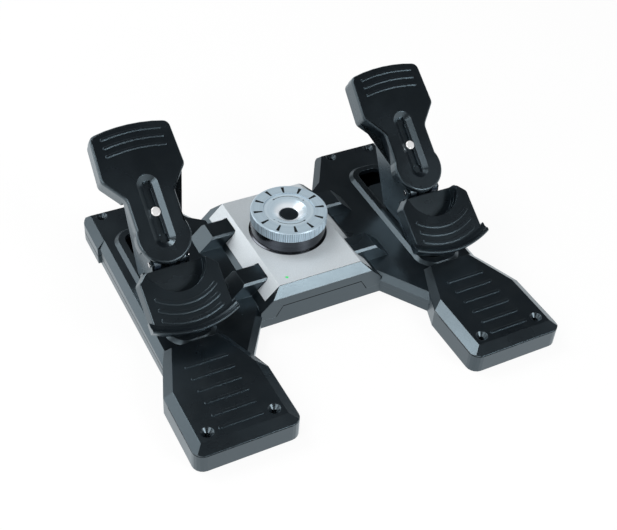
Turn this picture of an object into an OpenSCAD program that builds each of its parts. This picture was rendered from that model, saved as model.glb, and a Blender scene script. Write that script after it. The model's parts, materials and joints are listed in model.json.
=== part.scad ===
// Flight simulator rudder pedals: two sliding pedals with toe brakes on a floor base.
// Origin at the middle of the footprint on the floor, +X to the pilot's right,
// +Y away from the pilot and +Z up. Each piece is one module; left pieces mirror right ones.

/* [Base] */
// Overall width across the front feet
base_w = 440; // [436:1:450]
// Overall depth from the front feet to the rear feet
base_d = 388; // [384:1:400]
// Wall of the moulded shell and tray
shell_t = 2.5; // [2:0.1:3]
// Height of the deck at its rear edge
deck_z = 30.5; // [29:0.5:32]
// Fall of the deck toward the front, per unit of depth
deck_fall_share = 0.0236; // [0.015:0.001:0.026]
// Height of the sloping border round the deck
border_h = 6.5; // [5:0.5:7]
// Height of the parting line between tray and shell
seam_z = 12; // [10:0.5:12]
// Thickness of the rubber pads that stand below the tray
foot_pad_stand = 1; // [0.6:0.1:1.2]

/* [Front feet] */
// Width of one front foot
foot_w = 116.5; // [112:0.5:118]
// Straight length of a front foot's outer side
foot_side_l = 86; // [80:1:90]
// Height of the foot wall up to its border
foot_wall_h = 24; // [22:0.5:24.5]
// Number of grip ribs on one foot
foot_rib_count = 6; // [3:1:7]
// Distance between the grip ribs
foot_rib_pitch = 17.4; // [14:0.1:18]
// Width of one grip rib
foot_rib_w = 3.4; // [2:0.1:4]
// Radius of a floor screw hole
floor_hole_r = 2.75; // [2:0.05:3]
// Radius of the countersink of a floor screw hole
floor_sink_r = 6.8; // [5:0.1:7.5]

/* [Console] */
// Half the width of the console's flat top
console_top_half = 51.5; // [48:0.5:54]
// Height of the console's flat top
console_z = 49.5; // [48:0.5:52]
// Depth of the console between its front and rear walls
console_d = 174; // [170:1:178]
// Thickness of the metal-painted cover
cover_t = 2.2; // [1.6:0.1:2.6]
// Width of a bridge between console and side deck
bridge_w = 29; // [26:0.5:32]
// Height of the bridges' flat tops
bridge_z = 45; // [43:0.5:46]

/* [Tension dial] */
// Radius of the knurled ring
dial_r = 44.8; // [42:0.1:48]
// Height of the knurled ring
dial_h = 13; // [10:0.5:15]
// Height of the fixed collar below the ring
collar_h = 16.7; // [14:0.1:18]
// Number of knurls round the ring
knurl_count = 150; // [100:1:160]
// Number of marks on the dial
mark_count = 12; // [8:1:16]
// Radius of the dished centre
dish_r = 21; // [18:0.5:24]
// Radius of the centre cap
cap_r = 11.3; // [9:0.1:13]

/* [Pedals] */
// Distance of a pedal's middle from the base's middle
pedal_x = 159.9; // [157:0.1:162]
// Slope of the toe plate
toe_angle = 37.6; // [35:0.1:40]
// Half width of the toe plate at its top corners
toe_top_half = 45.4; // [40:0.1:47]
// Half width of the toe plate where it is widest
toe_wide_half = 47.7; // [45:0.1:50]
// Half width of the toe plate's neck
toe_neck_half = 27.6; // [26:0.1:29]
// Radius of the toe plate's round end
toe_disc_r = 30.3; // [29:0.1:32]
// Depth of the toe plate's side wall
toe_wall_d = 15; // [12:0.5:16]
// Wall of the toe plate
toe_t = 3; // [2.4:0.1:3.2]
// Slope of the heel rest
heel_angle = 33; // [31:0.1:35]
// Half width of the heel rest
heel_half = 44.5; // [43:0.1:48]
// Radius of the heel rest's front edge
heel_front_r = 102; // [95:1:110]
// Height of the ribs on the pedals
rib_h = 1.1; // [0.8:0.1:1.5]

/* [Movement] */
// Travel of a pedal each way from the middle
slide_travel = 24; // [18:1:24]
// Radius of the guide rods
rod_r = 4; // [3.5:0.1:4.2]
// Distance from the rocker's pivot to its drive pins
drive_arm = 108; // [106:0.5:109]
// Travel of the toe plate along its slot each way
toe_travel = 18; // [12:1:18]

/* [Hidden] */
$fn = 64;

// Cut overrun, running clearance, clearance round sliding pieces and rounding steps
over = 1;
root_z = seam_z - 0.5;
run_gap = 0.05;
slide_gap = 0.5;
seat_gap = 0.3;
arc_steps = 5;

// Base outline
half_w = base_w / 2;
half_d = base_d / 2;
foot_in_x = half_w - foot_w;
foot_bend_y = foot_side_l - half_d;
foot_taper_l = 46;
foot_back_y = foot_bend_y + foot_taper_l;
foot_in_bend_y = foot_bend_y - 4;
waist_x = half_w - 17.5;
rear_x = half_w - 14.5;
rear_in_x = 111.3;
console_half = 77;
console_front_y = -38.5;
console_rear_y = console_front_y + console_d;
console_mid_y = (console_front_y + console_rear_y) / 2;
wing_x = foot_in_x + 7.5;
wing_y = foot_bend_y + 18;
corner_r = 12;
soft_r = 6;

// Heights of the tray and the deck
tray_z = foot_pad_stand;
tray_top = tray_z + shell_t;
foot_top = deck_z;
function deck_at(y) = deck_z - (half_d - y) * deck_fall_share;

// Widths of the sloping border
wing_border = 7;
waist_border = 7.5;
rear_side_border = 10;
rear_border = 5.5;
rear_in_border = 8;
foot_front_border = 12;
foot_out_border = 9.7;
foot_in_border = 12;

// Foot plateau
crest_y = -52.2;
crest_in_x = 131.5;
crest_out_x = 192;
crest_border = 4;
foot_rib_mid_x = 162;
foot_rib_half = 24.6;
foot_rib_y = -half_d + 22.7;
foot_rib_top = 1.1;

// Floor screw holes
front_hole_y = -half_d + 22.5;
front_hole_x = [126, 199];
rear_hole_y = half_d - 11.8;
rear_hole_x = [128.3, 183.9];
floor_boss_r = 7.4;
sink_h = 4;
floor_holes = [
    for (s = [-1, 1])
        for (x = front_hole_x)
            [s * x, front_hole_y],
    for (s = [-1, 1])
        for (x = rear_hole_x)
            [s * x, rear_hole_y]
];

// Slot for the pedal arm
slot_x = 157;
slot_half = 17;
slot_r = 11;
shutter_half = slot_half - slide_gap;
shutter_front = -15;
shutter_back = 113;
shutter_t = 3;
shutter_z = 24;
slot_front = shutter_front - slide_travel - slide_gap;
slot_back = shutter_back + slide_travel + slide_gap;
rim_top_w = 7.5;
rim_foot_w = 12;
rim_h = 3.5;

// Console profile
console_slope_drop = 17.4;
console_slope_run = 17.1;
console_skirt_z = 24;
console_front_wall_z = 38;
console_bevel_d = 9;
cover_edge_z = 32.2;
console_wall_t = cover_t + shell_t;
cover_front_y = console_front_y + console_bevel_d;
cover_rear_y = console_rear_y - console_bevel_d;
step_z = 26;
step_half = 50;
step_run = 8;
bridge_ys = [console_mid_y - 43.7, console_mid_y + 43.7];
bridge_in_x = 52;
bridge_flat_x = 84;
bridge_end_x = 103;
bridge_chamfer = 2.5;
bridge_gap = 0.6;

// Dial
dial_y = 53.7;
collar_r = dial_r - 1;
collar_foot_r = dial_r + 1;
collar_foot_h = 1.6;
collar_t = 2.5;
dial_gap = seat_gap;
ring_z = console_z + collar_h + dial_gap;
ring_in_r = 30;
ring_edge = 1.5;
knurl_d = 0.7;
band_drop = 1;
face_r = ring_in_r;
face_t = 3;
dish_drop = 6;
mark_w = 3;
mark_in_r = 31.2;
mark_out_r = 41;
mark_d = 0.6;
spindle_r = 6;
spindle_bush_r = 9;
spindle_flange_r = 14;
spindle_flange_t = 2;

// Rocker and friction stack
boss_r = 12;
boss_bore_r = 9;
boss_top = 14;
rocker_z = 5;
rocker_t = 4.5;
rocker_w = 15;
hub_r = 20;
hub_top = 17;
drive_pin_r = 3;
drive_slot_gap = 0.3;
drive_slot_in = drive_arm - 4;
drive_slot_out = drive_arm + 6.7;
drive_wall = 4;
sensor_r = 8.6;
sensor_h = 5.2;
shaft_r = 3;
friction_t = 1.6;
friction_r = 18;
plate_t = 2;
spring_wire_r = 0.8;

// Guide rods and carriage
rod_z = 15;
rod_x = 27;
rod_front = -32;
rod_back = 132;
clamp_l = 8;
clamp_w = 16;
clamp_h = 4;
block_front = 4;
block_back = 94;
block_half = 34;
block_z = 8.5;
block_top = 21.5;
bush_r = 5.5;
bush_l = 16;
ear_in = drive_arm - 6;
ear_half = 8;
ear_z = 11;
ear_t = 5;
pin_foot_z = tray_top + 0.8;

// Toe plate frame: origin at the clamp bolt on the toe face, local x across, y up the slope
pin_y = 55.8;
pin_z = 126.4;
toe_top_y = 95;
toe_wide_y = 43.6;
toe_neck_y = 19;
disc_y = -28.3;
toe_bulge = 5.6;
toe_corner_r = 8;
toe_neck_r = 13;
recess_r = 12;
recess_floor_r = 5.8;
recess_half = 29.6;
recess_d = 4;
slot_w = 5.2;
keyhole_r = 4.6;
keyhole_notch_r = 1.4;
keyhole_y = 30.4;
back_t = 11.5;
toe_ribs_y = [91.8, 82.2, 72.6];
toe_rib_half = 33;
toe_rib_w = 3.2;
toe_rib_r = 178;

// Brake carrier and axle, in the toe frame
axle_y = -52;
axle_z = -14.7;
axle_r = 3;
carrier_half = 17.8;
carrier_t = 7;
carrier_z = -toe_t - recess_d - seat_gap;
carrier_top = 42;
ear_outer_r = 7;
lug_half = 8;
bolt_r = 2.4;
bolt_head_r = 5.2;
bolt_head_h = 1.8;
knob_r = 10.5;
knob_h = 11;
knob_lobes = 5;
knob_flute_r = 4;
knob_flute_out = 2;
knob_z = carrier_z - carrier_t - seat_gap;
wall_cut_y = disc_y - 10;
wall_cut_z = -5.5;

// Pedal arm
arm_half = 21.3;
cheek_t = 2.8;
arm_base_half = 16;
arm_base_z = shutter_z + shutter_t;
arm_neck_z = 36;

// Heel rest, in its own sloping frame
heel_y = -25;
heel_z = 77.4;
heel_back = 31.5;
heel_corner = 10;
heel_front_y = 62.5;
heel_skirt = 12;
heel_flare = 2.2;
heel_lower_inset = 2.5;
heel_rib_y = 44.6;
heel_rib_rs = [55.2, 65, 75.1];
heel_rib_half = 33;
heel_rib_w = 4.6;
lip_half = 48.5;
pit_r = 33;
pit_y = 34.5;
pit_floor = -8;
pit_back = -61;
heel_wall = 3;

// Colours
plastic_color = [0.12, 0.13, 0.15];
grey_color = [0.30, 0.33, 0.36];
silver_color = [0.78, 0.79, 0.80];
steel_color = [0.62, 0.64, 0.66];
rubber_color = [0.08, 0.08, 0.08];

// Unit vector, and turn a vector by an angle
function unit(v) = v / norm(v);
function turned(v, a) = [v.x * cos(a) - v.y * sin(a), v.x * sin(a) + v.y * cos(a)];
function left_of(v) = [-v.y, v.x];

// Points of an outline moved inward, one distance for each edge
function inset_at(a, b, c, d1, d2) =
    let (n1 = left_of(unit(b - a)), n2 = left_of(unit(c - b)))
    let (k = n1.x * n2.y - n1.y * n2.x)
    b + [d1 * n2.y - d2 * n1.y, n1.x * d2 - n2.x * d1] / k;
function inset_points(p, d) =
    let (n = len(p))
    [for (i = [0:n - 1])
        inset_at(p[(i + n - 1) % n], p[i], p[(i + 1) % n], d[(i + n - 1) % n], d[i])];

// Points of an outline with its corners rounded; a radius of 0 keeps the sharp corner
function corner_arc(a, b, c, r, n) =
    let (u = unit(a - b), v = unit(c - b))
    let (half = acos(u * v) / 2)
    let (hub = b + unit(u + v) * r / sin(half), first = b + u * r / tan(half))
    let (way = (u.x * v.y - u.y * v.x) > 0 ? -1 : 1)
    [for (k = [0:n]) hub + turned(first - hub, way * (180 - 2 * half) * k / n)];
function rounded_points(p, r, steps) =
    let (n = len(p))
    [for (i = [0:n - 1])
        each (r[i] == 0 ? [p[i]] : corner_arc(p[(i + n - 1) % n], p[i], p[(i + 1) % n], r[i], steps))];
function reversed(p) = [for (i = [len(p) - 1:-1:0]) p[i]];
function mirrored(p) = [for (q = reversed(p)) [-q.x, q.y]];

// Closed skin over rings of points that all have the same count
module skin(rings) {
    n = len(rings[0]);
    m = len(rings);
    sides = [
        for (k = [0:m - 2])
            for (i = [0:n - 1])
                let (j = (i + 1) % n)
                each [[k * n + i, (k + 1) * n + i, (k + 1) * n + j],
                      [k * n + i, (k + 1) * n + j, k * n + j]]
    ];
    low_cap = [[for (i = [0:n - 1]) i]];
    high_cap = [[for (i = [n - 1:-1:0]) (m - 1) * n + i]];
    polyhedron([for (r = rings) each r], concat(low_cap, sides, high_cap));
}

// Outline of the whole footprint, right half then left half, counterclockwise
right_pts = [
    [console_half, console_front_y],
    [wing_x, wing_y],
    [foot_in_x, foot_in_bend_y],
    [foot_in_x, -half_d],
    [half_w, -half_d],
    [half_w, foot_bend_y],
    [waist_x, foot_back_y],
    [waist_x, console_rear_y],
    [rear_x, console_rear_y],
    [rear_x, half_d],
    [rear_in_x, half_d],
    [console_half, console_rear_y]
];
right_r = [0, 0, 0, corner_r, corner_r, 0, 0, 0, 0, corner_r, corner_r, 0];
base_pts = concat(right_pts, mirrored(right_pts));
base_r = concat(right_r, reversed(right_r));
module base_outline(inset) {
    polygon(rounded_points(inset_points(base_pts, [for (q = base_pts) inset]), base_r, arc_steps));
}

// Everything below a plane through a point, with a slope along x and y
module below_plane(p, z, slope) {
    reach = 2 * base_w;
    translate([p.x, p.y, z])
        rotate([0, atan(norm(slope)), atan2(-slope.y, -slope.x)])
            translate([-reach, -reach, -reach])
                cube([2 * reach, 2 * reach, reach]);
}

// Convex block with a border that slopes down to each outline edge, each a little lower than the last
border_step = 0.02;
module bordered(pts, radii, borders, low_z, fall) {
    n = len(pts);
    intersection() {
        translate([0, 0, low_z])
            linear_extrude(console_z)
                polygon(rounded_points(pts, radii, arc_steps));
        below_plane([0, half_d], deck_z, [0, fall]);
        intersection_for (i = [for (k = [0:n - 1]) if (borders[k] > 0) k]) {
            a = pts[i];
            in_dir = left_of(unit(pts[(i + 1) % n] - a));
            z = deck_z - (half_d - a.y) * fall - border_h - i * border_step;
            below_plane(a, z, [0, fall] + border_h / borders[i] * in_dir);
        }
    }
}

// Deck: a middle part and two rear parts that run into each other
mid_pts = [
    [console_half - 11, console_front_y + 14],
    [wing_x + 3, wing_y - 4.5],
    [waist_x, foot_back_y - 4],
    [waist_x, console_rear_y + 34],
    [rear_in_x + 14, console_rear_y + 34],
    [console_half - 14, console_rear_y - 14]
];
mid_borders = [wing_border, 0, waist_border, 0, 0, 0];
rear_pts = [
    [rear_x - 70, console_rear_y - 1],
    [rear_x, console_rear_y],
    [rear_x, half_d],
    [rear_in_x, half_d],
    [console_half - 9, console_rear_y - 14]
];
rear_r = [0, 0, corner_r, corner_r, 0];
rear_borders = [rear_border, rear_side_border, rear_border, rear_in_border, 0];
module deck_half(inset, low_z) {
    mid = inset_points(mid_pts, [for (b = mid_borders) b > 0 ? inset : 0]);
    rear = inset_points(rear_pts, [for (b = rear_borders) b > 0 ? inset : 0]);
    radii = [for (r = rear_r) inset > 0 ? r / 2 : r];
    translate([0, 0, -inset]) {
        bordered(mid, [for (q = mid) 0], mid_borders, low_z, deck_fall_share);
        bordered(rear, radii, rear_borders, low_z, deck_fall_share);
    }
}

// Raised front foot with sloping borders
foot_low = [
    [foot_in_x, foot_in_bend_y],
    [foot_in_x, -half_d],
    [half_w, -half_d],
    [half_w, foot_bend_y],
    [waist_x + 0.5, foot_back_y - 1.3],
    [crest_out_x + crest_border, crest_y + crest_border],
    [crest_in_x - crest_border, crest_y + crest_border]
];
foot_low_r = [0, corner_r, corner_r, 0, 0, 0, 0];
foot_borders = [
    foot_in_border, foot_front_border, foot_out_border, foot_out_border,
    crest_border, crest_border, foot_in_border * 0.7
];
module foot_block(inset, low_z) {
    radii = [for (r = foot_low_r) inset > 0 ? r / 2 : r];
    translate([0, 0, -inset])
        bordered(inset_points(foot_low, [for (q = foot_low) inset]), radii, foot_borders, low_z, 0);
}

// Foot walls where the foot grows out of the deck
root_inset = 0.06;
module foot_root() {
    low_z = seam_z + over;
    translate([0, 0, low_z])
        linear_extrude(foot_wall_h - low_z)
            difference() {
                polygon(inset_points(foot_low, [for (q = foot_low) root_inset]));
                foot_area();
            }
}

// Area of the tall foot walls in plan, up to where the deck begins
foot_join_in = wing_y - 3;
foot_join_out = foot_back_y - 6;
module foot_area() {
    out = half_w + over;
    polygon([
        [foot_in_x - over, -half_d - over],
        [out, -half_d - over],
        [out, foot_join_out],
        [crest_out_x, foot_join_out],
        [wing_x + shell_t * 2, foot_join_in],
        [foot_in_x - over, foot_join_in]
    ]);
}

// Console block: sloping sides, bevelled front and rear
module console_solid(inset, low_z) {
    drop = console_slope_drop;
    half = console_top_half + console_slope_run;
    low_half = console_half;
    top = console_z - inset;
    intersection() {
        translate([0, console_rear_y + over, 0])
            rotate([90, 0, 0])
                linear_extrude(console_d + 2 * over)
                    polygon([
                        [inset - low_half, low_z],
                        [low_half - inset, low_z],
                        [low_half - inset, console_skirt_z],
                        [half - inset * 1.2, console_z - drop],
                        [console_top_half - inset / 2, top],
                        [inset / 2 - console_top_half, top],
                        [inset * 1.2 - half, console_z - drop],
                        [inset - low_half, console_skirt_z]
                    ]);
        translate([-base_w / 2, 0, 0])
            rotate([90, 0, 90])
                linear_extrude(base_w)
                    polygon([
                        [console_front_y + inset, low_z],
                        [console_rear_y - inset, low_z],
                        [console_rear_y - inset, console_front_wall_z],
                        [cover_rear_y - inset / 2, top],
                        [cover_front_y + inset / 2, top],
                        [console_front_y + inset, console_front_wall_z]
                    ]);
    }
}

// Raised middle of the tray's front wall
module front_step(extra) {
    translate([0, console_front_y + shell_t + extra, 0])
        rotate([90, 0, 0])
            linear_extrude(shell_t + extra)
                polygon([
                    [-step_half - step_run - extra, seam_z - extra],
                    [step_half + step_run + extra, seam_z - extra],
                    [step_half + extra, step_z],
                    [-step_half - extra, step_z]
                ]);
}

// Rounded rectangle between two depths
module slot_shape(half, front, back, r) {
    for (x = [r - half, half - r])
        for (y = [front + r, back - r])
            translate([x, y])
                circle(r);
    translate([-half, front + r])
        square([2 * half, back - front - 2 * r]);
    translate([r - half, front])
        square([2 * (half - r), back - front]);
}

// Raised rim round the arm slot, tilted with the deck
module slot_rim() {
    r = slot_r + rim_foot_w;
    half = slot_half + rim_foot_w;
    front = slot_front - rim_foot_w;
    back = slot_back + rim_foot_w;
    run = (rim_foot_w - rim_top_w) * (rim_h + shell_t) / rim_h;
    rise = rim_h + shell_t;
    translate([slot_x, half_d, deck_z - shell_t])
        rotate([atan(deck_fall_share), 0, 0])
            translate([0, -half_d, 0]) {
                for (x = [r - half, half - r])
                    for (y = [front + r, back - r])
                        translate([x, y, 0])
                            cylinder(
                                h = rise,
                                r1 = r + run - rim_foot_w + rim_top_w,
                                r2 = r - rim_foot_w + rim_top_w
                            );
                translate([0, back - r, 0])
                    rotate([90, 0, 0])
                        linear_extrude(back - front - 2 * r)
                            rim_section(half, rise, run);
                translate([r - half, (front + back) / 2, 0])
                    rotate([90, 0, 90])
                        linear_extrude(2 * (half - r))
                            rim_section((back - front) / 2, rise, run);
            }
}
module rim_section(half, rise, run) {
    top = half - rim_foot_w + rim_top_w;
    polygon([[-top - run, 0], [top + run, 0], [top, rise], [-top, rise]]);
}

// One bridge from the console to the side deck
module bridge(grow) {
    half = bridge_w / 2 + grow;
    z = bridge_z + grow;
    c = bridge_chamfer;
    intersection() {
        translate([0, half, 0])
            rotate([90, 0, 0])
                linear_extrude(2 * half)
                    polygon([
                        [bridge_in_x, console_skirt_z - shell_t],
                        [bridge_end_x + grow, console_skirt_z - shell_t],
                        [bridge_end_x + grow, console_skirt_z + shell_t],
                        [bridge_flat_x + grow, z],
                        [bridge_in_x, z]
                    ]);
        translate([0, 0, 0])
            rotate([90, 0, 90])
                linear_extrude(base_w)
                    polygon([
                        [-half, 0],
                        [half, 0],
                        [half, z - c],
                        [half - c, z],
                        [c - half, z],
                        [-half, z - c]
                    ]);
    }
}
module bridges(grow) {
    for (y = bridge_ys)
        for (side = [0, 1])
            translate([0, y, 0])
                mirror([side, 0, 0])
                    bridge(grow);
}

// Floor screw holes through tray and shell
module floor_screw_holes() {
    for (p = floor_holes)
        translate([p.x, p.y, 0]) {
            translate([0, 0, -over])
                cylinder(h = foot_top + 2 * over, r = floor_hole_r);
        }
}
module floor_sinks() {
    for (p = floor_holes) {
        top = p.y < 0 ? foot_top : deck_at(p.y);
        translate([p.x, p.y, top - sink_h])
            cylinder(h = sink_h, r1 = floor_hole_r, r2 = floor_sink_r);
        translate([p.x, p.y, top])
            cylinder(h = over, r = floor_sink_r);
    }
}

// Bottom tray with its walls, screw tubes and the rocker's boss
module bottom_tray() {
    color(grey_color)
        difference() {
            union() {
                difference() {
                    translate([0, 0, tray_z])
                        linear_extrude(seam_z - tray_z)
                            base_outline(0);
                    translate([0, 0, tray_top])
                        linear_extrude(seam_z)
                            base_outline(shell_t);
                }
                for (side = [0, 1])
                    mirror([side, 0, 0])
                        foot_tall_wall();
                front_step(0);
                for (p = floor_holes)
                    translate([p.x, p.y, tray_z])
                        cylinder(h = boss_height(p), r = floor_boss_r);
                translate([0, dial_y, tray_z])
                    cylinder(h = boss_top - tray_z, r = boss_r);
                centering_post();
                rod_saddles();
                screw_tubes();
            }
            floor_screw_holes();
            translate([0, dial_y, tray_top])
                cylinder(h = boss_top, r = boss_bore_r);
            guide_rod_set(0);
            case_screw_set(true);
            foot_pad_set();
            grommet_hole();
        }
}
function boss_height(p) =
    (p.y < 0 ? foot_top : deck_at(p.y - floor_boss_r)) - shell_t - sink_h - tray_z;

// Wall of a front foot above the parting line
module foot_tall_wall() {
    translate([0, 0, seam_z])
        linear_extrude(foot_wall_h - seam_z)
            intersection() {
                difference() {
                    base_outline(0);
                    base_outline(shell_t);
                }
                foot_area();
            }
}

// Saddles that hold the ends of the guide rods
module rod_saddles() {
    for (s = [-1, 1])
        for (dx = [-rod_x, rod_x])
            for (y = [rod_front, rod_back - clamp_l])
                translate([s * slot_x + dx - clamp_w / 2, y, tray_z])
                    cube([clamp_w, clamp_l, rod_z - tray_z]);
}

// Screw tubes that tie the tray to the shell
screw_tube_r = 4;
tube_out_x = waist_x - shell_t - screw_tube_r + over / 2;
screw_spots = [
    [60, console_front_y + 14], [60, console_rear_y - 14],
    [108, -72], [tube_out_x, 40], [tube_out_x, 110], [118, 168]
];
screw_r = 1.5;
screw_head_r = 3;
screw_head_h = 2;
screw_l = 14;
module screw_tubes() {
    for (side = [-1, 1])
        for (p = screw_spots)
            translate([side * p.x, p.y, tray_z])
                cylinder(h = seam_z - tray_z, r = screw_tube_r);
}
module case_screw_set(hole) {
    grow = hole ? run_gap : 0;
    for (side = [-1, 1])
        for (p = screw_spots)
            translate([side * p.x, p.y, tray_z - (hole ? over : 0)]) {
                cylinder(h = screw_head_h + (hole ? over : 0), r = screw_head_r + grow);
                cylinder(h = screw_l + (hole ? over : 0), r = screw_r + grow);
            }
}
module case_screws() {
    color(steel_color)
        case_screw_set(false);
}

// Tubes under the deck that take the case screws
module shell_tubes() {
    for (side = [-1, 1])
        for (p = screw_spots)
            translate([side * p.x, p.y, seam_z])
                cylinder(h = console_z - seam_z, r = screw_tube_r);
}

// Upper shell: deck, feet, console block, bridges and slot rims
module upper_shell() {
    color(plastic_color)
        difference() {
            union() {
                for (side = [0, 1])
                    mirror([side, 0, 0]) {
                        deck_half(0, root_z);
                        foot_block(0, foot_wall_h);
                        foot_root();
                        slot_rim();
                        foot_ribs();
                    }
                console_solid(0, root_z - over);
                bridges(0);
            }
            translate([-half_w, -half_d, root_z - 2 * over])
                cube([base_w, base_d, seam_z - root_z + 2 * over]);
            shell_hollow();
            board_screw_set();
            cover_region(-bridge_gap);
            front_step(0);
            for (side = [0, 1])
                mirror([side, 0, 0]) {
                    translate([slot_x, 0, 0])
                        linear_extrude(console_z)
                            slot_shape(slot_half, slot_front, slot_back, slot_r);
                }
            floor_screw_holes();
            floor_sinks();
            translate([0, dial_y, 0])
                cylinder(h = console_z + over, r = spindle_bush_r);
            case_screw_set(true);
            status_light_hole();
            grommet_hole();
        }
}
module shell_hollow() {
    difference() {
        union() {
            for (side = [0, 1])
                mirror([side, 0, 0]) {
                    deck_half(shell_t, seam_z - 2 * over);
                    foot_block(shell_t, seam_z - over);
                }
            console_solid(console_wall_t, seam_z - 3 * over);
            bridges(-shell_t);
        }
        shell_tubes();
        board_posts();
        for (p = floor_holes)
            translate([p.x, p.y, tray_z + boss_height(p)])
                cylinder(h = foot_top, r = floor_boss_r);
    }
}

// Grip ribs on a front foot
module foot_ribs() {
    r = foot_rib_w / 2;
    for (i = [0:foot_rib_count - 1])
        translate([foot_rib_mid_x, foot_rib_y + i * foot_rib_pitch, foot_top - shell_t / 2]) {
            for (x = [r - foot_rib_half, foot_rib_half - r])
                translate([x, 0, 0])
                    cylinder(h = shell_t / 2 + foot_rib_top, r = r);
            translate([r - foot_rib_half, -r, 0])
                cube([2 * (foot_rib_half - r), 2 * r, shell_t / 2 + foot_rib_top]);
        }
}

// Space of the console cover, with cut-outs for the bridges
module cover_region(grow) {
    difference() {
        intersection() {
            console_solid(0, seam_z);
            translate([-half_w, cover_front_y, cover_edge_z])
                cube([base_w, cover_rear_y - cover_front_y, console_z]);
        }
        console_solid(cover_t, 0);
        bridges(bridge_gap + grow);
    }
}
module console_cover() {
    color(silver_color)
        difference() {
            cover_region(0);
            translate([0, dial_y, 0])
                cylinder(h = console_z + over, r = spindle_bush_r);
            status_light_hole();
        }
}

// Status light near the cover's front edge
light_x = -37.6;
light_y = -20.2;
light_r = 2;
module status_light_hole() {
    translate([light_x, light_y, console_z - cover_t - shell_t * 2])
        cylinder(h = cover_t + shell_t * 2 + over, r = light_r);
}
module status_light() {
    color([0.25, 0.75, 0.35])
        translate([light_x, light_y, 0]) {
            translate([0, 0, board_z + board_t])
                cylinder(h = console_z - board_z - board_t - light_r / 2, r = light_r - run_gap);
            translate([0, 0, board_z + board_t])
                cylinder(h = light_r, r = light_r * 1.4);
        }
}

// Circuit board below the console top
board_z = 30;
board_t = 1.6;
board_l = 60;
board_w = 34;
chip_w = 9;
socket_w = 12;
module circuit_board() {
    x0 = light_x - board_w / 4;
    y0 = cover_front_y + shell_t;
    color([0.10, 0.35, 0.20])
        difference() {
            union() {
                translate([x0, y0, board_z])
                    cube([board_l, board_w, board_t]);
                translate([x0 + board_l / 2, y0 + board_w / 4, board_z + board_t])
                    cube([chip_w, chip_w, board_t]);
                translate([x0 + board_l - socket_w, y0 + board_w / 4, board_z + board_t])
                    cube([socket_w, chip_w / 2, board_t * 3]);
            }
            board_screw_set();
        }
}

// Posts under the console top and the screws that hold the board to them
board_post_r = 3;
board_post_x = [light_x + 16, light_x + 40];
board_post_y = 2;
board_screw_l = 10;
module board_posts() {
    for (x = board_post_x)
        translate([x, board_post_y, board_z + board_t])
            cylinder(h = console_z - cover_t - shell_t / 2 - board_z - board_t, r = board_post_r);
}
module board_screw_set() {
    for (x = board_post_x)
        translate([x, board_post_y, board_z]) {
            translate([0, 0, -screw_head_h])
                cylinder(h = screw_head_h, r = board_post_r);
            cylinder(h = board_screw_l, r = screw_r);
        }
}
module board_screws() {
    color(steel_color)
        board_screw_set();
}

// Cable inlet in the middle of the rear wall
grommet_r = 4.5;
grommet_flange_r = 7;
grommet_z = 20;
grommet_bore_r = 2.2;
grommet_flange_t = 1.5;
module grommet_hole() {
    translate([0, console_rear_y + over, grommet_z])
        rotate([90, 0, 0])
            cylinder(h = console_wall_t + 2 * over, r = grommet_r);
}
module cable_grommet() {
    color(rubber_color)
        translate([0, console_rear_y, grommet_z])
            rotate([90, 0, 0])
                difference() {
                    union() {
                        translate([0, 0, -grommet_flange_t])
                            cylinder(h = grommet_flange_t, r = grommet_flange_r);
                        translate([0, 0, -grommet_flange_t])
                            cylinder(h = console_wall_t + 2 * grommet_flange_t, r = grommet_r);
                        translate([0, 0, console_wall_t])
                            cylinder(h = grommet_flange_t, r = grommet_flange_r);
                    }
                    translate([0, 0, -grommet_flange_t - over])
                        cylinder(h = console_wall_t * 2 + over, r = grommet_bore_r);
                }
}

// Rubber pads under the tray
foot_pad_r = 9;
foot_pad_t = 2;
pad_spots = [[162, 30 - half_d], [205, 62 - half_d], [156, half_d - 16], [190, half_d - 46]];
module foot_pad_set() {
    for (side = [-1, 1])
        for (p = pad_spots)
            translate([side * p.x, p.y, 0])
                cylinder(h = foot_pad_t, r = foot_pad_r);
}
module rubber_feet() {
    color(rubber_color)
        foot_pad_set();
}

// Guide rods for both carriages
module guide_rod_set(grow) {
    for (s = [-1, 1])
        for (dx = [-rod_x, rod_x])
            translate([s * slot_x + dx, rod_back, rod_z])
                rotate([90, 0, 0])
                    cylinder(h = rod_back - rod_front, r = rod_r + grow);
}
module guide_rods() {
    color(steel_color)
        guide_rod_set(0);
}

// Caps that hold the rods down in their saddles
module rod_clamps() {
    color(plastic_color)
        difference() {
            for (s = [-1, 1])
                for (dx = [-rod_x, rod_x])
                    for (y = [rod_front, rod_back - clamp_l])
                        translate([s * slot_x + dx - clamp_w / 2, y, rod_z])
                            cube([clamp_w, clamp_l, clamp_h + shell_t / 2]);
            guide_rod_set(0);
        }
}

// Rotary sensor inside the rocker's boss
module rudder_sensor() {
    color([0.2, 0.35, 0.6])
        translate([0, dial_y, tray_top])
            difference() {
                cylinder(h = sensor_h, r = sensor_r);
                translate([0, 0, over])
                    cylinder(h = sensor_h, r = shaft_r + run_gap);
            }
}
module sensor_shaft() {
    color(steel_color)
        translate([0, dial_y, tray_top + over + seat_gap])
            cylinder(h = hub_top - tray_top - over - seat_gap, r = shaft_r);
}

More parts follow.
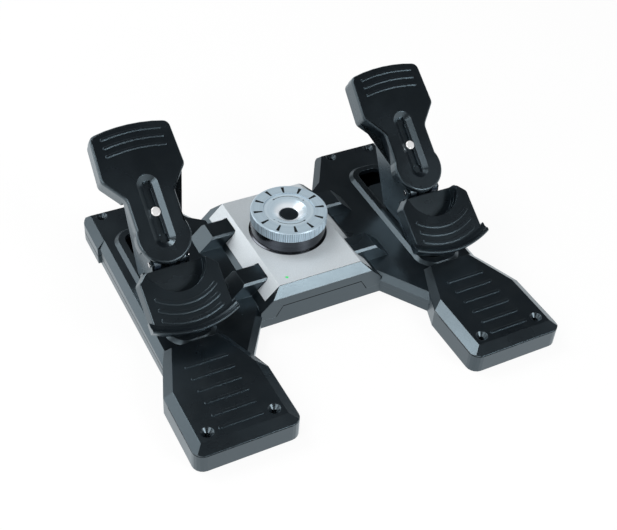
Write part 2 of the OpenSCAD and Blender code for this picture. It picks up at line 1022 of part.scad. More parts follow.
// Rocker that ties the two carriages together
module rocker_arm() {
    color(steel_color)
        translate([0, dial_y, 0])
            difference() {
                union() {
                    translate([-drive_slot_out - drive_wall, -rocker_w / 2, rocker_z])
                        cube([2 * (drive_slot_out + drive_wall), rocker_w, rocker_t]);
                    translate([0, 0, rocker_z])
                        cylinder(h = hub_top - rocker_z, r = hub_r);
                }
                translate([0, 0, rocker_z - over])
                    cylinder(h = boss_top + seat_gap - rocker_z + over, r = boss_r + run_gap);
                cylinder(h = hub_top + over, r = shaft_r);
                for (s = [-1, 1])
                    drive_slot(s);
            }
}
module drive_slot(s) {
    r = drive_pin_r + drive_slot_gap;
    translate([0, 0, rocker_z - over])
        linear_extrude(rocker_t + 2 * over) {
            for (x = [drive_slot_in, drive_slot_out - r])
                translate([s * x, 0])
                    circle(r);
            translate([s > 0 ? drive_slot_in : r - drive_slot_out, -r])
                square([drive_slot_out - r - drive_slot_in, 2 * r]);
        }
}

// Springs are one tube of wire with six sides
module coil(length, coil_r, wire_r, turns) {
    sides = 6;
    steps = 8;
    n = turns * steps;
    pitch = length / turns;
    rise = atan(pitch / (2 * PI * coil_r));
    rings = [
        for (i = [0:n])
            let (a = 360 * i / steps, z = length * i / n)
            [for (k = [sides - 1:-1:0])
                let (b = 360 * k / sides)
                let (out = wire_r * cos(b), up = wire_r * sin(b))
                [(coil_r + out) * cos(a) + up * sin(rise) * sin(a),
                 (coil_r + out) * sin(a) - up * sin(rise) * cos(a),
                 z + up * cos(rise)]]
    ];
    skin(rings);
}

// Torsion spring round the hub that brings the rocker back to the middle
centering_coil_r = hub_r + 3.2;
centering_wire_r = 1;
centering_turns = 2.5;
centering_post_r = 2;
centering_z = rocker_z + rocker_t + centering_wire_r + seat_gap;
centering_l = 5;
module centering_spring() {
    color(steel_color)
        translate([0, dial_y, centering_z])
            rotate([0, 0, 90])
                coil(centering_l, centering_coil_r, centering_wire_r, centering_turns);
}
module centering_post() {
    r = centering_coil_r + centering_wire_r + centering_post_r + seat_gap;
    translate([0, dial_y - r, tray_z])
        cylinder(h = centering_z + centering_l - tray_z, r = centering_post_r);
}

// Friction stack above the rocker
module friction_disc() {
    color([0.35, 0.25, 0.18])
        translate([0, dial_y, hub_top])
            difference() {
                cylinder(h = friction_t, r = friction_r);
                translate([0, 0, -over])
                    cylinder(h = friction_t + 2 * over, r = spindle_r);
            }
}
module pressure_plate() {
    color(steel_color)
        translate([0, dial_y, hub_top + friction_t + seat_gap])
            cylinder(h = plate_t, r = friction_r);
}

// Spring between the pressure plate and the spindle's bush
pressure_coil_r = 8.5;
pressure_wire_r = 1;
pressure_turns = 5;
module pressure_spring() {
    low = hub_top + friction_t + seat_gap + plate_t + pressure_wire_r;
    high = console_z - cover_t - shell_t - spindle_flange_t - seat_gap - pressure_wire_r;
    color(steel_color)
        translate([0, dial_y, low])
            coil(high - low, pressure_coil_r, pressure_wire_r, pressure_turns);
}

// Fixed bush in the console top that guides the dial's spindle
module spindle_bush() {
    under = console_z - cover_t - shell_t;
    color(steel_color)
        translate([0, dial_y, 0])
            difference() {
                union() {
                    translate([0, 0, under - spindle_flange_t])
                        cylinder(h = spindle_flange_t, r = spindle_flange_r);
                    translate([0, 0, under - spindle_flange_t])
                        cylinder(h = console_z - under + spindle_flange_t, r = spindle_bush_r);
                }
                translate([0, 0, under - spindle_flange_t - over])
                    cylinder(h = console_z, r = spindle_r + run_gap);
            }
}
module dial_spindle() {
    color(steel_color)
        translate([0, dial_y, hub_top + friction_t + seat_gap + plate_t])
            cylinder(h = ring_z + face_t - hub_top - friction_t - seat_gap - plate_t, r = spindle_r);
}

// Fixed collar below the dial
module dial_collar() {
    color([0.25, 0.27, 0.30])
        translate([0, dial_y, console_z])
            rotate_extrude()
                polygon([
                    [collar_r - collar_t, 0],
                    [collar_foot_r, 0],
                    [collar_foot_r, collar_foot_h / 2],
                    [collar_r, collar_foot_h],
                    [collar_r, collar_h],
                    [collar_r - collar_t, collar_h]
                ]);
}

// Knurled ring with recessed marks
module dial_ring() {
    turned_r = dial_r + knurl_d / 8;
    color(silver_color)
        translate([0, dial_y, ring_z])
            difference() {
                intersection() {
                    linear_extrude(dial_h)
                        polygon([
                            for (i = [0:2 * knurl_count - 1])
                                let (a = 180 * i / knurl_count)
                                (dial_r - (i % 2) * knurl_d) * [cos(a), sin(a)]
                        ]);
                    rotate_extrude()
                        polygon([
                            [0, 0],
                            [turned_r - ring_edge / 2, 0],
                            [turned_r, ring_edge / 2],
                            [turned_r, dial_h - ring_edge],
                            [turned_r - ring_edge, dial_h],
                            [0, dial_h]
                        ]);
                }
                translate([0, 0, -over])
                    cylinder(h = dial_h + 2 * over, r = ring_in_r);
                for (i = [0:mark_count - 1])
                    rotate([0, 0, 360 * (i + 0.5) / mark_count])
                        translate([0, 0, dial_h - mark_d])
                            linear_extrude(mark_d + over)
                                polygon([
                                    [mark_in_r, -mark_w / 4],
                                    [mark_out_r, -mark_w / 2],
                                    [mark_out_r, mark_w / 2],
                                    [mark_in_r, mark_w / 4]
                                ]);
            }
}

// Dished face inside the ring
module dial_face() {
    color(silver_color)
        translate([0, dial_y, ring_z])
            difference() {
                rotate_extrude()
                    polygon([
                        [0, 0],
                        [face_r, 0],
                        [face_r, dial_h - band_drop],
                        [dish_r, dial_h - band_drop],
                        [cap_r, dial_h - band_drop - dish_drop],
                        [0, dial_h - band_drop - dish_drop]
                    ]);
                translate([0, 0, -over])
                    cylinder(h = face_t + over, r = spindle_r);
            }
}
cap_h = 0.8;
module dial_cap() {
    top = dial_h - band_drop - dish_drop;
    color(plastic_color)
        translate([0, dial_y, ring_z + top])
            rotate_extrude()
                polygon([
                    [0, 0],
                    [cap_r, 0],
                    [cap_r - cap_h / 4, cap_h / 2],
                    [cap_r - cap_h, cap_h * 0.8],
                    [0, cap_h]
                ]);
}

// Carriage that runs on the guide rods and carries the pedal arm
module carriage() {
    color(plastic_color)
        difference() {
            union() {
                translate([slot_x - block_half, block_front, block_z])
                    cube([2 * block_half, block_back - block_front, block_top - block_z]);
                translate([slot_x - arm_base_half, block_front, block_z])
                    cube([2 * arm_base_half, block_back - block_front, shutter_z - block_z + over]);
                translate([slot_x, 0, shutter_z])
                    linear_extrude(shutter_t)
                        slot_shape(shutter_half, shutter_front, shutter_back, slot_r - slide_gap);
                translate([ear_in, dial_y - ear_half, ear_z])
                    cube([slot_x - block_half - ear_in + over, 2 * ear_half, ear_t]);
            }
            for (dx = [-rod_x, rod_x])
                translate([slot_x + dx, block_back + over, rod_z])
                    rotate([90, 0, 0])
                        cylinder(h = block_back - block_front + 2 * over, r = bush_r);
            translate([drive_arm, dial_y, ear_z - over])
                cylinder(h = ear_t + 2 * over, r = drive_pin_r);
            arm_screw_set(run_gap);
            translate([slot_x - block_half + shell_t * 2, block_front + bush_l + shell_t, block_z - over])
                cube([shell_t * 2, block_back - block_front - 2 * bush_l - 2 * shell_t, over * 3]);
        }
}
module slide_bushes() {
    color([0.75, 0.6, 0.3])
        for (dx = [-rod_x, rod_x])
            for (y = [block_front + bush_l, block_back])
                translate([slot_x + dx, y, rod_z])
                    rotate([90, 0, 0])
                        difference() {
                            cylinder(h = bush_l, r = bush_r);
                            translate([0, 0, -over])
                                cylinder(h = bush_l + 2 * over, r = rod_r + run_gap);
                        }
}
module drive_pin() {
    color(steel_color)
        translate([drive_arm, dial_y, pin_foot_z])
            cylinder(h = ear_z + ear_t - pin_foot_z, r = drive_pin_r);
}

// Places in the toe frame
module toe_frame() {
    translate([pedal_x, pin_y, pin_z])
        rotate([toe_angle, 0, 0])
            children();
}
function toe_point(t, n) = [
    pin_y + t * cos(toe_angle) - n * sin(toe_angle),
    pin_z + t * sin(toe_angle) + n * cos(toe_angle)
];

// Side profile of the pedal arm in depth and height
arm_front_y = 20;
arm_back_y = 60;
arm_head = toe_point(32, -22.5);
arm_head_back = toe_point(30, -40);
arm_nose = toe_point(axle_y - 3, -9);
arm_face_y = 15;
module arm_profile() {
    polygon([
        [arm_front_y, arm_base_z],
        [arm_back_y, arm_base_z],
        [arm_back_y + 5, arm_neck_z],
        arm_head_back,
        arm_head,
        arm_nose,
        [arm_face_y, arm_neck_z + 12],
        [arm_front_y, arm_neck_z]
    ]);
}
module across(half) {
    translate([-half, 0, 0])
        rotate([90, 0, 90])
            linear_extrude(2 * half)
                children();
}

// Open channel in the arm for the brake carrier and the clamp knob
spring_seat_n = -35;
module arm_channel() {
    polygon([
        toe_point(axle_y - 14, -1),
        toe_point(axle_y - 11, -24),
        toe_point(axle_y + 4, spring_seat_n),
        toe_point(-12, spring_seat_n),
        toe_point(-12, -60),
        toe_point(60, -60),
        toe_point(60, 10),
        toe_point(axle_y - 14, 10)
    ]);
}
arm_screws_y = [30, 50];
arm_screw_x = 9;
arm_screw_r = 2;
arm_screw_head_r = 3.6;
module arm_screw_set(grow) {
    for (y = arm_screws_y)
        for (dx = [-arm_screw_x, arm_screw_x])
            translate([slot_x + dx, y, block_z]) {
                cylinder(h = arm_neck_z - block_z, r = arm_screw_r + grow);
                cylinder(h = shell_t, r = arm_screw_head_r + grow);
            }
}
module arm_screws() {
    color(steel_color)
        arm_screw_set(0);
}
module pedal_arm() {
    shoulder = slot_x - pedal_x;
    color(plastic_color)
        difference() {
            union() {
                translate([pedal_x, 0, 0])
                    intersection() {
                        across(arm_half)
                            arm_profile();
                        translate([-arm_half, -half_d, arm_neck_z])
                            cube([2 * arm_half, base_d, base_d]);
                    }
                translate([slot_x, 0, 0])
                    intersection() {
                        across(arm_base_half)
                            arm_profile();
                        translate([-arm_half, -half_d, 0])
                            cube([2 * arm_half, base_d, arm_neck_z + over]);
                    }
            }
            translate([pedal_x, 0, 0])
                across(arm_half - cheek_t)
                    arm_channel();
            translate([pedal_x, 0, 0])
                across(arm_half - cheek_t)
                    arm_pocket();
            toe_frame()
                axle_bore(run_gap);
            arm_screw_set(0);
            heel_screw_set(run_gap);
        }
}

// Pocket that lightens the lower arm from behind
module arm_pocket() {
    polygon([
        [arm_front_y + 12, arm_neck_z + 10],
        [arm_back_y + over * 20, arm_neck_z + 10],
        [arm_back_y + over * 20, 62],
        [arm_front_y + 14, 62]
    ]);
}
module axle_bore(grow) {
    translate([-arm_half - over, axle_y, axle_z])
        rotate([0, 90, 0])
            cylinder(h = 2 * arm_half + 2 * over, r = axle_r + grow);
}

// Brake axle, carrier, spring and sensor
module brake_axle() {
    color(steel_color)
        toe_frame()
            translate([-arm_half - axle_r / 2, axle_y, axle_z])
                rotate([0, 90, 0])
                    cylinder(h = 2 * arm_half + axle_r, r = axle_r);
}
sensor_w = 7;
sensor_body_r = 7.4;
module toe_carrier() {
    low = axle_y + sensor_body_r + axle_r;
    color(plastic_color)
        toe_frame()
            difference() {
                union() {
                    translate([-carrier_half, low, carrier_z - carrier_t])
                        cube([2 * carrier_half, carrier_top - low, carrier_t]);
                    for (x = [-carrier_half, lug_half - 2 * sensor_w])
                        translate([x, 0, 0])
                            carrier_lug();
                }
                axle_bore(0);
                translate([0, 0, carrier_z - carrier_t - over])
                    cylinder(h = carrier_t + 2 * over, r = bolt_r + run_gap);
            }
}
module carrier_lug() {
    rotate([90, 0, 90])
        linear_extrude(lug_half)
            union() {
                translate([axle_y, axle_z])
                    circle(ear_outer_r);
                polygon([
                    [axle_y - ear_outer_r * 0.94, axle_z + ear_outer_r * 0.34],
                    [axle_y + ear_outer_r * 0.5, axle_z - ear_outer_r * 0.866],
                    [axle_y + sensor_body_r * 2.5, carrier_z - carrier_t],
                    [axle_y + sensor_body_r * 2.5, carrier_z],
                    [axle_y + ear_outer_r * 0.4, carrier_z]
                ]);
            }
}
module brake_sensor() {
    color([0.2, 0.35, 0.6])
        toe_frame()
            difference() {
                translate([arm_half - cheek_t - sensor_w, axle_y, axle_z])
                    rotate([0, 90, 0])
                        cylinder(h = sensor_w, r = sensor_body_r);
                axle_bore(run_gap);
            }
}
brake_spring_y = -24;
brake_spring_r = 5;
brake_spring_turns = 5;
module brake_spring() {
    low = spring_seat_n + spring_wire_r + seat_gap;
    high = carrier_z - carrier_t - spring_wire_r - seat_gap;
    color(steel_color)
        toe_frame()
            translate([0, brake_spring_y, low])
                coil(high - low, brake_spring_r, spring_wire_r, brake_spring_turns);
}

// Clamp bolt through the toe plate's slot and its knob behind
module clamp_bolt() {
    color([0.9, 0.9, 0.92])
        toe_frame()
            union() {
                translate([0, 0, -recess_d + seat_gap])
                    rotate_extrude()
                        polygon([
                            [0, 0],
                            [bolt_head_r, 0],
                            [bolt_head_r, bolt_head_h * 0.6],
                            [bolt_head_r - bolt_head_h * 0.5, bolt_head_h],
                            [0, bolt_head_h]
                        ]);
                translate([0, 0, knob_z - knob_h])
                    cylinder(h = -knob_z + knob_h - recess_d + seat_gap, r = bolt_r);
            }
}
module clamp_knob() {
    color(plastic_color)
        toe_frame()
            translate([0, 0, knob_z - knob_h])
                difference() {
                    linear_extrude(knob_h)
                        difference() {
                            circle(knob_r);
                            for (i = [0:knob_lobes - 1])
                                rotate(360 * (i + 0.5) / knob_lobes)
                                    translate([knob_r + knob_flute_out, 0])
                                        circle(knob_flute_r);
                        }
                    translate([0, 0, -over])
                        cylinder(h = knob_h + 2 * over, r = bolt_r + run_gap);
                }
}

// Toe plate: keyhole outline, arched ribs, sloping recess and adjusting slot
toe_right = [
    [toe_neck_half, toe_neck_y],
    [toe_wide_half, toe_wide_y],
    [toe_top_half, toe_top_y]
];
toe_right_r = [toe_neck_r, toe_corner_r, toe_corner_r];
disc_steps = 27;
disc_end_a = acos(toe_neck_half / toe_disc_r);
disc_arc = [
    for (k = [0:disc_steps])
        let (a = 180 - disc_end_a + (180 + 2 * disc_end_a) * k / disc_steps)
        [0, disc_y] + toe_disc_r * [cos(a), sin(a)]
];
function toe_arch() =
    let (a = 2 * atan(toe_bulge / toe_top_half))
    let (r = toe_top_half / sin(a))
    [for (k = [-2:2])
        let (b = a * k * 0.3)
        [-r * sin(b), toe_top_y + toe_bulge - r + r * cos(b)]];
toe_pts = concat(disc_arc, toe_right, toe_arch(), mirrored(toe_right));
toe_pts_r = concat([for (q = disc_arc) 0], toe_right_r, [0, 0, 0, 0, 0], reversed(toe_right_r));
function inset_ring(pts, radii, inset, z) = [
    for (q = rounded_points(inset_points(pts, [for (c = pts) inset]), radii, arc_steps))
        [q.x, q.y, z]
];
module toe_outline(inset) {
    polygon([for (q = inset_ring(toe_pts, toe_pts_r, inset, 0)) [q.x, q.y]]);
}

// Rounded edge of the toe plate as height and inset
toe_edge = [[-toe_wall_d, 0], [-3.5, 0], [-1.8, 0.35], [-0.6, 1.1], [0, 2.4]];
module stadium(r, half) {
    for (y = [-half, half])
        translate([0, y])
            circle(r);
    translate([-r, -half])
        square([2 * r, 2 * half]);
}
module toe_plate() {
    color(plastic_color)
        toe_frame()
            difference() {
                union() {
                    skin([for (q = toe_edge) inset_ring(toe_pts, toe_pts_r, q[1], q[0])]);
                    for (y = toe_ribs_y)
                        translate([0, y - toe_rib_r, 0])
                            arc_rib(toe_rib_r, toe_rib_half, toe_rib_w);
                    translate([0, 0, -toe_t - recess_d])
                        linear_extrude(toe_t)
                            stadium(recess_r + toe_t, recess_half);
                }
                translate([0, 0, -toe_wall_d - over])
                    linear_extrude(toe_wall_d - toe_t + over)
                        difference() {
                            toe_outline(toe_t);
                            stadium(recess_r + toe_t, recess_half);
                        }
                translate([0, 0, -toe_wall_d - over])
                    linear_extrude(toe_wall_d - toe_t - recess_d + over)
                        stadium(recess_r + toe_t, recess_half);
                hull()
                    for (y = [-recess_half, recess_half])
                        translate([0, y, -recess_d])
                            cylinder(h = recess_d + 0.02, r1 = recess_floor_r, r2 = recess_r, $fn = 32);
                translate([0, 0, -toe_t - recess_d - over])
                    linear_extrude(toe_t + recess_d)
                        stadium(slot_w / 2, keyhole_y);
                for (y = [-keyhole_y, keyhole_y])
                    translate([0, y, -toe_t - recess_d - over])
                        keyhole(toe_t + recess_d);
                translate([-half_w, wall_cut_y - base_d, -base_d])
                    cube([base_w, base_d, base_d + wall_cut_z]);
            }
}

// Hole with four notches at each end of the slot
module keyhole(h) {
    cylinder(h = h, r = keyhole_r);
    for (a = [45:90:315])
        rotate(a)
            translate([keyhole_r, 0, 0])
                cylinder(h = h, r = keyhole_notch_r);
}

// Rib along an arc round the origin, with round ends and a narrower crown
rib_steps = 12;
rib_crown = 0.5;
function arc_rib_points(r, half, w) =
    let (a = asin(half / r))
    concat(
        [for (k = [-rib_steps:rib_steps])
            let (b = a * k / rib_steps)
            (r + w / 2) * [sin(b), cos(b)]],
        [for (k = [1:arc_steps])
            let (b = a + 180 * k / (arc_steps + 1))
            r * [sin(a), cos(a)] + w / 2 * [sin(b), cos(b)]],
        [for (k = [rib_steps:-1:-rib_steps])
            let (b = a * k / rib_steps)
            (r - w / 2) * [sin(b), cos(b)]],
        [for (k = [1:arc_steps])
            let (b = 180 - a + 180 * k / (arc_steps + 1))
            r * [-sin(a), cos(a)] + w / 2 * [sin(b), cos(b)]]
    );
module arc_rib(r, half, w) {
    translate([0, 0, -toe_t / 2])
        linear_extrude(toe_t / 2 + rib_h * 0.6)
            polygon(arc_rib_points(r, half, w));
    linear_extrude(rib_h)
        polygon(arc_rib_points(r, half, w - 2 * rib_crown));
}

// Rear moulding behind the toe plate's head
module toe_back() {
    low = toe_neck_y + 2;
    color(plastic_color)
        toe_frame()
            difference() {
                translate([0, 0, -toe_wall_d - back_t])
                    linear_extrude(back_t - seat_gap)
                        intersection() {
                            toe_outline(0.8);
                            translate([-half_w, low])
                                square([base_w, toe_top_y]);
                        }
                translate([0, 0, -toe_wall_d - back_t + toe_t])
                    linear_extrude(back_t)
                        intersection() {
                            toe_outline(toe_t + 0.8);
                            translate([-half_w, low - over])
                                square([base_w, toe_top_y]);
                        }
                translate([-arm_half - 2, low - over, -toe_wall_d - back_t - over])
                    cube([2 * arm_half + 4, carrier_top + toe_travel - low + toe_t, back_t + 2 * over]);
            }
}

// Heel rest: flat tread with a curved lip, arched ribs and a round pit for the toe plate's end
module heel_frame() {
    translate([pedal_x, heel_y, heel_z])
        rotate([heel_angle, 0, 0])
            children();
}
heel_front_a = asin(heel_half / heel_front_r);
heel_pts = concat(
    [for (k = [-4:4])
        [heel_front_r * sin(heel_front_a * k / 4), heel_front_y - heel_front_r * cos(heel_front_a * k / 4)]],
    [
        [heel_half, heel_back - heel_corner],
        [heel_half - heel_corner, heel_back],
        [heel_corner - heel_half, heel_back],
        [-heel_half, heel_back - heel_corner]
    ]);
heel_pts_r = concat([for (k = [-4:4]) 0], [soft_r, soft_r, soft_r, soft_r]);
heel_edge = [[-heel_skirt, -heel_flare], [-1.6, 0], [-0.5, 0.4], [0, 1.4]];
module heel_body(inset, top, drop) {
    intersection() {
        heel_frame()
            translate([0, 0, -base_d])
                linear_extrude(base_d + top)
                    polygon(inset_points(heel_pts, [for (c = heel_pts) inset]));
        translate([pedal_x, 0, 0])
            across(heel_half)
                heel_profile(drop);
    }
}
module heel_rest() {
    color(plastic_color)
        difference() {
            union() {
                heel_frame() {
                    skin([for (q = heel_edge) inset_ring(heel_pts, heel_pts_r, q[1], q[0])]);
                    heel_lip();
                    translate([0, heel_rib_y, 0])
                        rotate([0, 0, 180])
                            for (r = heel_rib_rs)
                                arc_rib(r, heel_rib_half, heel_rib_w);
                }
                heel_body(heel_lower_inset, -heel_wall, 0);
                heel_cup();
                heel_block();
            }
            heel_pit();
            heel_underside();
            heel_screw_set(0);
        }
}

// Block under the tread that is screwed to the arm, and its screws
heel_block_half = 15;
heel_block_front = 1;
heel_block_z = 50;
heel_block_h = 32;
heel_screw_x = 9;
heel_screw_z = 54;
heel_screw_l = 26;
module heel_block() {
    back = arm_face_y - seat_gap;
    translate([pedal_x - heel_block_half, heel_block_front, heel_block_z])
        cube([2 * heel_block_half, back - heel_block_front, heel_block_h]);
}
module heel_screw_set(grow) {
    for (x = [-heel_screw_x, heel_screw_x])
        translate([pedal_x + x, arm_front_y + 12, heel_screw_z])
            rotate([90, 0, 0]) {
                cylinder(h = heel_screw_l, r = arm_screw_r + grow);
                translate([0, 0, -screw_head_h])
                    cylinder(h = screw_head_h, r = arm_screw_head_r + grow);
            }
}
module heel_screws() {
    color(steel_color)
        heel_screw_set(0);
}
heel_low_front = [-57, 47];
heel_low_mid = [-20, 52];
heel_low_back = [arm_face_y - seat_gap, 72];
module heel_profile(drop) {
    polygon([
        heel_low_front - [0, drop],
        heel_low_mid - [0, drop],
        heel_low_back - [0, drop],
        [arm_face_y - seat_gap, 90],
        toe_point(axle_y - 4, 14),
        [-60, 90]
    ]);
}

// Upturned lip along the curved front edge
lip_section = [
    [-6, -1], [-5, 0], [-2, 0.6], [0.2, 2.2], [1.3, 4.4], [2.2, 5.2],
    [4, 5.2], [5, 4.2], [5, -4], [4, -8], [-6, -8]
];
module heel_lip() {
    intersection() {
        translate([0, heel_front_y, 0])
            rotate_extrude($fn = 360)
                polygon([for (q = lip_section) [heel_front_r + q.x, q.y]]);
        translate([-lip_half, -heel_front_r, -heel_skirt])
            cube([2 * lip_half, heel_front_r, 2 * heel_skirt]);
    }
}

// Pit that takes the toe plate's round end, and the floor below it
module heel_pit() {
    intersection() {
        heel_frame()
            translate([0, pit_y, -base_d])
                cylinder(h = 2 * base_d, r = pit_r);
        toe_frame()
            translate([-half_w, -base_d, pit_floor])
                cube([base_w, 2 * base_d, base_d]);
    }
}
module heel_cup() {
    intersection() {
        heel_frame()
            translate([0, pit_y, -base_d])
                cylinder(h = base_d, r = pit_r + heel_wall);
        toe_frame()
            translate([-half_w, pit_back - base_d, pit_floor - heel_wall])
                cube([base_w, base_d, heel_skirt]);
    }
}

// Hollow below the tread
module heel_underside() {
    difference() {
        heel_body(heel_lower_inset + heel_wall, -heel_wall - over, heel_skirt);
        heel_cup();
        heel_block();
    }
}

// Left and right pedal pieces
module left_side() {
    mirror([1, 0, 0])
        children();
}

bottom_tray();
upper_shell();
console_cover();
dial_collar();
spindle_bush();
rubber_feet();
case_screws();
guide_rods();
rod_clamps();
circuit_board();
board_screws();
status_light();
cable_grommet();
rudder_sensor();
rocker_arm();
sensor_shaft();
friction_disc();
centering_spring();
dial_ring();
dial_face();
dial_cap();
dial_spindle();
pressure_plate();
pressure_spring();
left_side() carriage();  // left_carriage
left_side() slide_bushes();  // left_slide_bushes
left_side() drive_pin();  // left_drive_pin
left_side() pedal_arm();  // left_pedal_arm
left_side() arm_screws();  // left_arm_screws
left_side() heel_rest();  // left_heel_rest
left_side() heel_screws();  // left_heel_screws
left_side() brake_sensor();  // left_brake_sensor
left_side() brake_spring();  // left_brake_spring
left_side() toe_carrier();  // left_toe_carrier
left_side() brake_axle();  // left_brake_axle
left_side() clamp_bolt();  // left_clamp_bolt
left_side() clamp_knob();  // left_clamp_knob
left_side() toe_plate();  // left_toe_plate
left_side() toe_back();  // left_toe_back
carriage();  // right_carriage
slide_bushes();  // right_slide_bushes
drive_pin();  // right_drive_pin
pedal_arm();  // right_pedal_arm
arm_screws();  // right_arm_screws
heel_rest();  // right_heel_rest
heel_screws();  // right_heel_screws
brake_sensor();  // right_brake_sensor
brake_spring();  // right_brake_spring
toe_carrier();  // right_toe_carrier
brake_axle();  // right_brake_axle
clamp_bolt();  // right_clamp_bolt
clamp_knob();  // right_clamp_knob
toe_plate();  // right_toe_plate
toe_back();  // right_toe_back
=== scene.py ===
import json
import math

import bmesh
import bpy
from mathutils import Matrix, Vector


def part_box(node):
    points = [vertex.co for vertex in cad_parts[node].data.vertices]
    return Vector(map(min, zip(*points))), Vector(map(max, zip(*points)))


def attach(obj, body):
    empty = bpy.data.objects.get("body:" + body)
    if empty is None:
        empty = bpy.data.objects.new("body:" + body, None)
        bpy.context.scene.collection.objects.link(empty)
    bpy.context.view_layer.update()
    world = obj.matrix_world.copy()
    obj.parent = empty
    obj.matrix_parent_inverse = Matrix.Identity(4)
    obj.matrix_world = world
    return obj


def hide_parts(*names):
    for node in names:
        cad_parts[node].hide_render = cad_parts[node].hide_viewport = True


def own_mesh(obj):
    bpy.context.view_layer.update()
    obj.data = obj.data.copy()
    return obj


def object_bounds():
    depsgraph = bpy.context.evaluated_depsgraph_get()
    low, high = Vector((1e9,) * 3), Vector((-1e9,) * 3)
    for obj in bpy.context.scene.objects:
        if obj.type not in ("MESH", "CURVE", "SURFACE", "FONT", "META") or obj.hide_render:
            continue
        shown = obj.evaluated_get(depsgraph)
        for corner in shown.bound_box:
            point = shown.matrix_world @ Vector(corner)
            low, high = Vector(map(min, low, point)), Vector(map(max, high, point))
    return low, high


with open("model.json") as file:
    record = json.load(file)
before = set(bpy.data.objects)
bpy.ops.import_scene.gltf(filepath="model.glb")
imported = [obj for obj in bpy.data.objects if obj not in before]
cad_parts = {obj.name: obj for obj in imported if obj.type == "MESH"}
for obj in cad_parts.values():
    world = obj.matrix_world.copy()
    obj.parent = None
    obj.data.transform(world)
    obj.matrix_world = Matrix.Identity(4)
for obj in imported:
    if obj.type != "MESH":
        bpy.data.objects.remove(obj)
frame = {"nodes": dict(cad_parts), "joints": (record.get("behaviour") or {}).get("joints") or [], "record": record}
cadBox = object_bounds()
parts = frame["nodes"]
joints = {joint["name"]: joint for joint in frame["joints"]}
print("frame loaded:", len(parts), "parts")


# camera

cameraView = {
    "place": (-0.4601, -0.7824, 0.8505),
    "right": (0.88696, -0.45762, 0.06220),
    "up": (0.26542, 0.61531, 0.74225),
    "forward": (0.37797, 0.64183, -0.66723),
    "lens": 62.02,          # mm on a 36 mm wide sensor
    "sensor": 36.0,
    "nearest": 0.01,
}


def addCamera(view):
    data = bpy.data.cameras.new("photoCamera")
    data.lens = view["lens"]
    data.sensor_width = view["sensor"]
    data.sensor_fit = "HORIZONTAL"
    data.clip_start = view["nearest"]
    camera = bpy.data.objects.new("photoCamera", data)
    back = [-c for c in view["forward"]]
    turn = Matrix((view["right"], view["up"], back)).transposed()
    camera.matrix_world = Matrix.Translation(view["place"]) @ turn.to_4x4()
    bpy.context.scene.collection.objects.link(camera)
    bpy.context.scene.camera = camera


addCamera(cameraView)
print("camera placed")


# small helpers for node trees

def addNode(tree, kind, **settings):
    made = tree.nodes.new(kind)
    for key, value in settings.items():
        setattr(made, key, value)
    return made


def join(tree, source, target):
    tree.links.new(source, target)


def mathNode(tree, operation, first, second=None, clamp=False):
    made = addNode(tree, "ShaderNodeMath", operation=operation, use_clamp=clamp)
    for index, value in enumerate((first, second)):
        if value is None:
            continue
        if isinstance(value, (int, float)):
            made.inputs[index].default_value = value
        else:
            join(tree, value, made.inputs[index])
    return made.outputs[0]


def rampNode(tree, factor, low, high):  # smooth rise from 0 at low to 1 at high
    made = addNode(tree, "ShaderNodeMapRange", interpolation_type="SMOOTHSTEP")
    join(tree, factor, made.inputs["Value"])
    made.inputs["From Min"].default_value = low
    made.inputs["From Max"].default_value = high
    return made.outputs["Result"]


socketKinds = {"number": "NodeSocketFloat", "vector": "NodeSocketVector"}


def newGroup(name, inputs, outputs):
    group = bpy.data.node_groups.new(name, "ShaderNodeTree")
    for label, kind, value in inputs:
        socket = group.interface.new_socket(label, in_out="INPUT", socket_type=socketKinds[kind])
        socket.default_value = value
    for label, kind in outputs:
        group.interface.new_socket(label, in_out="OUTPUT", socket_type=socketKinds[kind])
    start = group.nodes.new("NodeGroupInput")
    end = group.nodes.new("NodeGroupOutput")
    return group, start.outputs, end.inputs


# shared surface effects

mouldGrain = {"fineDetail": 2.0, "cloudDetail": 5.0, "cloudBand": (0.3, 0.7)}


def makeMouldGrain(look):  # fine moulded texture with slow cloudy change over it
    group, given, gives = newGroup(
        "mouldGrain",
        [("Scale", "number", 1400.0), ("Cloud Scale", "number", 14.0)],
        [("Height", "number"), ("Cloud", "number")])
    coords = addNode(group, "ShaderNodeTexCoord")
    fine = addNode(group, "ShaderNodeTexNoise")
    fine.inputs["Detail"].default_value = look["fineDetail"]
    join(group, coords.outputs["Object"], fine.inputs["Vector"])
    join(group, given["Scale"], fine.inputs["Scale"])
    pits = addNode(group, "ShaderNodeTexVoronoi", feature="SMOOTH_F1")
    join(group, coords.outputs["Object"], pits.inputs["Vector"])
    join(group, given["Scale"], pits.inputs["Scale"])
    cloud = addNode(group, "ShaderNodeTexNoise")
    cloud.inputs["Detail"].default_value = look["cloudDetail"]
    join(group, coords.outputs["Object"], cloud.inputs["Vector"])
    join(group, given["Cloud Scale"], cloud.inputs["Scale"])
    height = mathNode(group, "MULTIPLY", fine.outputs["Fac"], pits.outputs["Distance"])
    join(group, height, gives["Height"])
    join(group, rampNode(group, cloud.outputs["Fac"], *look["cloudBand"]), gives["Cloud"])
    return group


softEdge = {"samples": 6, "patchDetail": 4.0, "turnBand": (0.01, 0.16)}


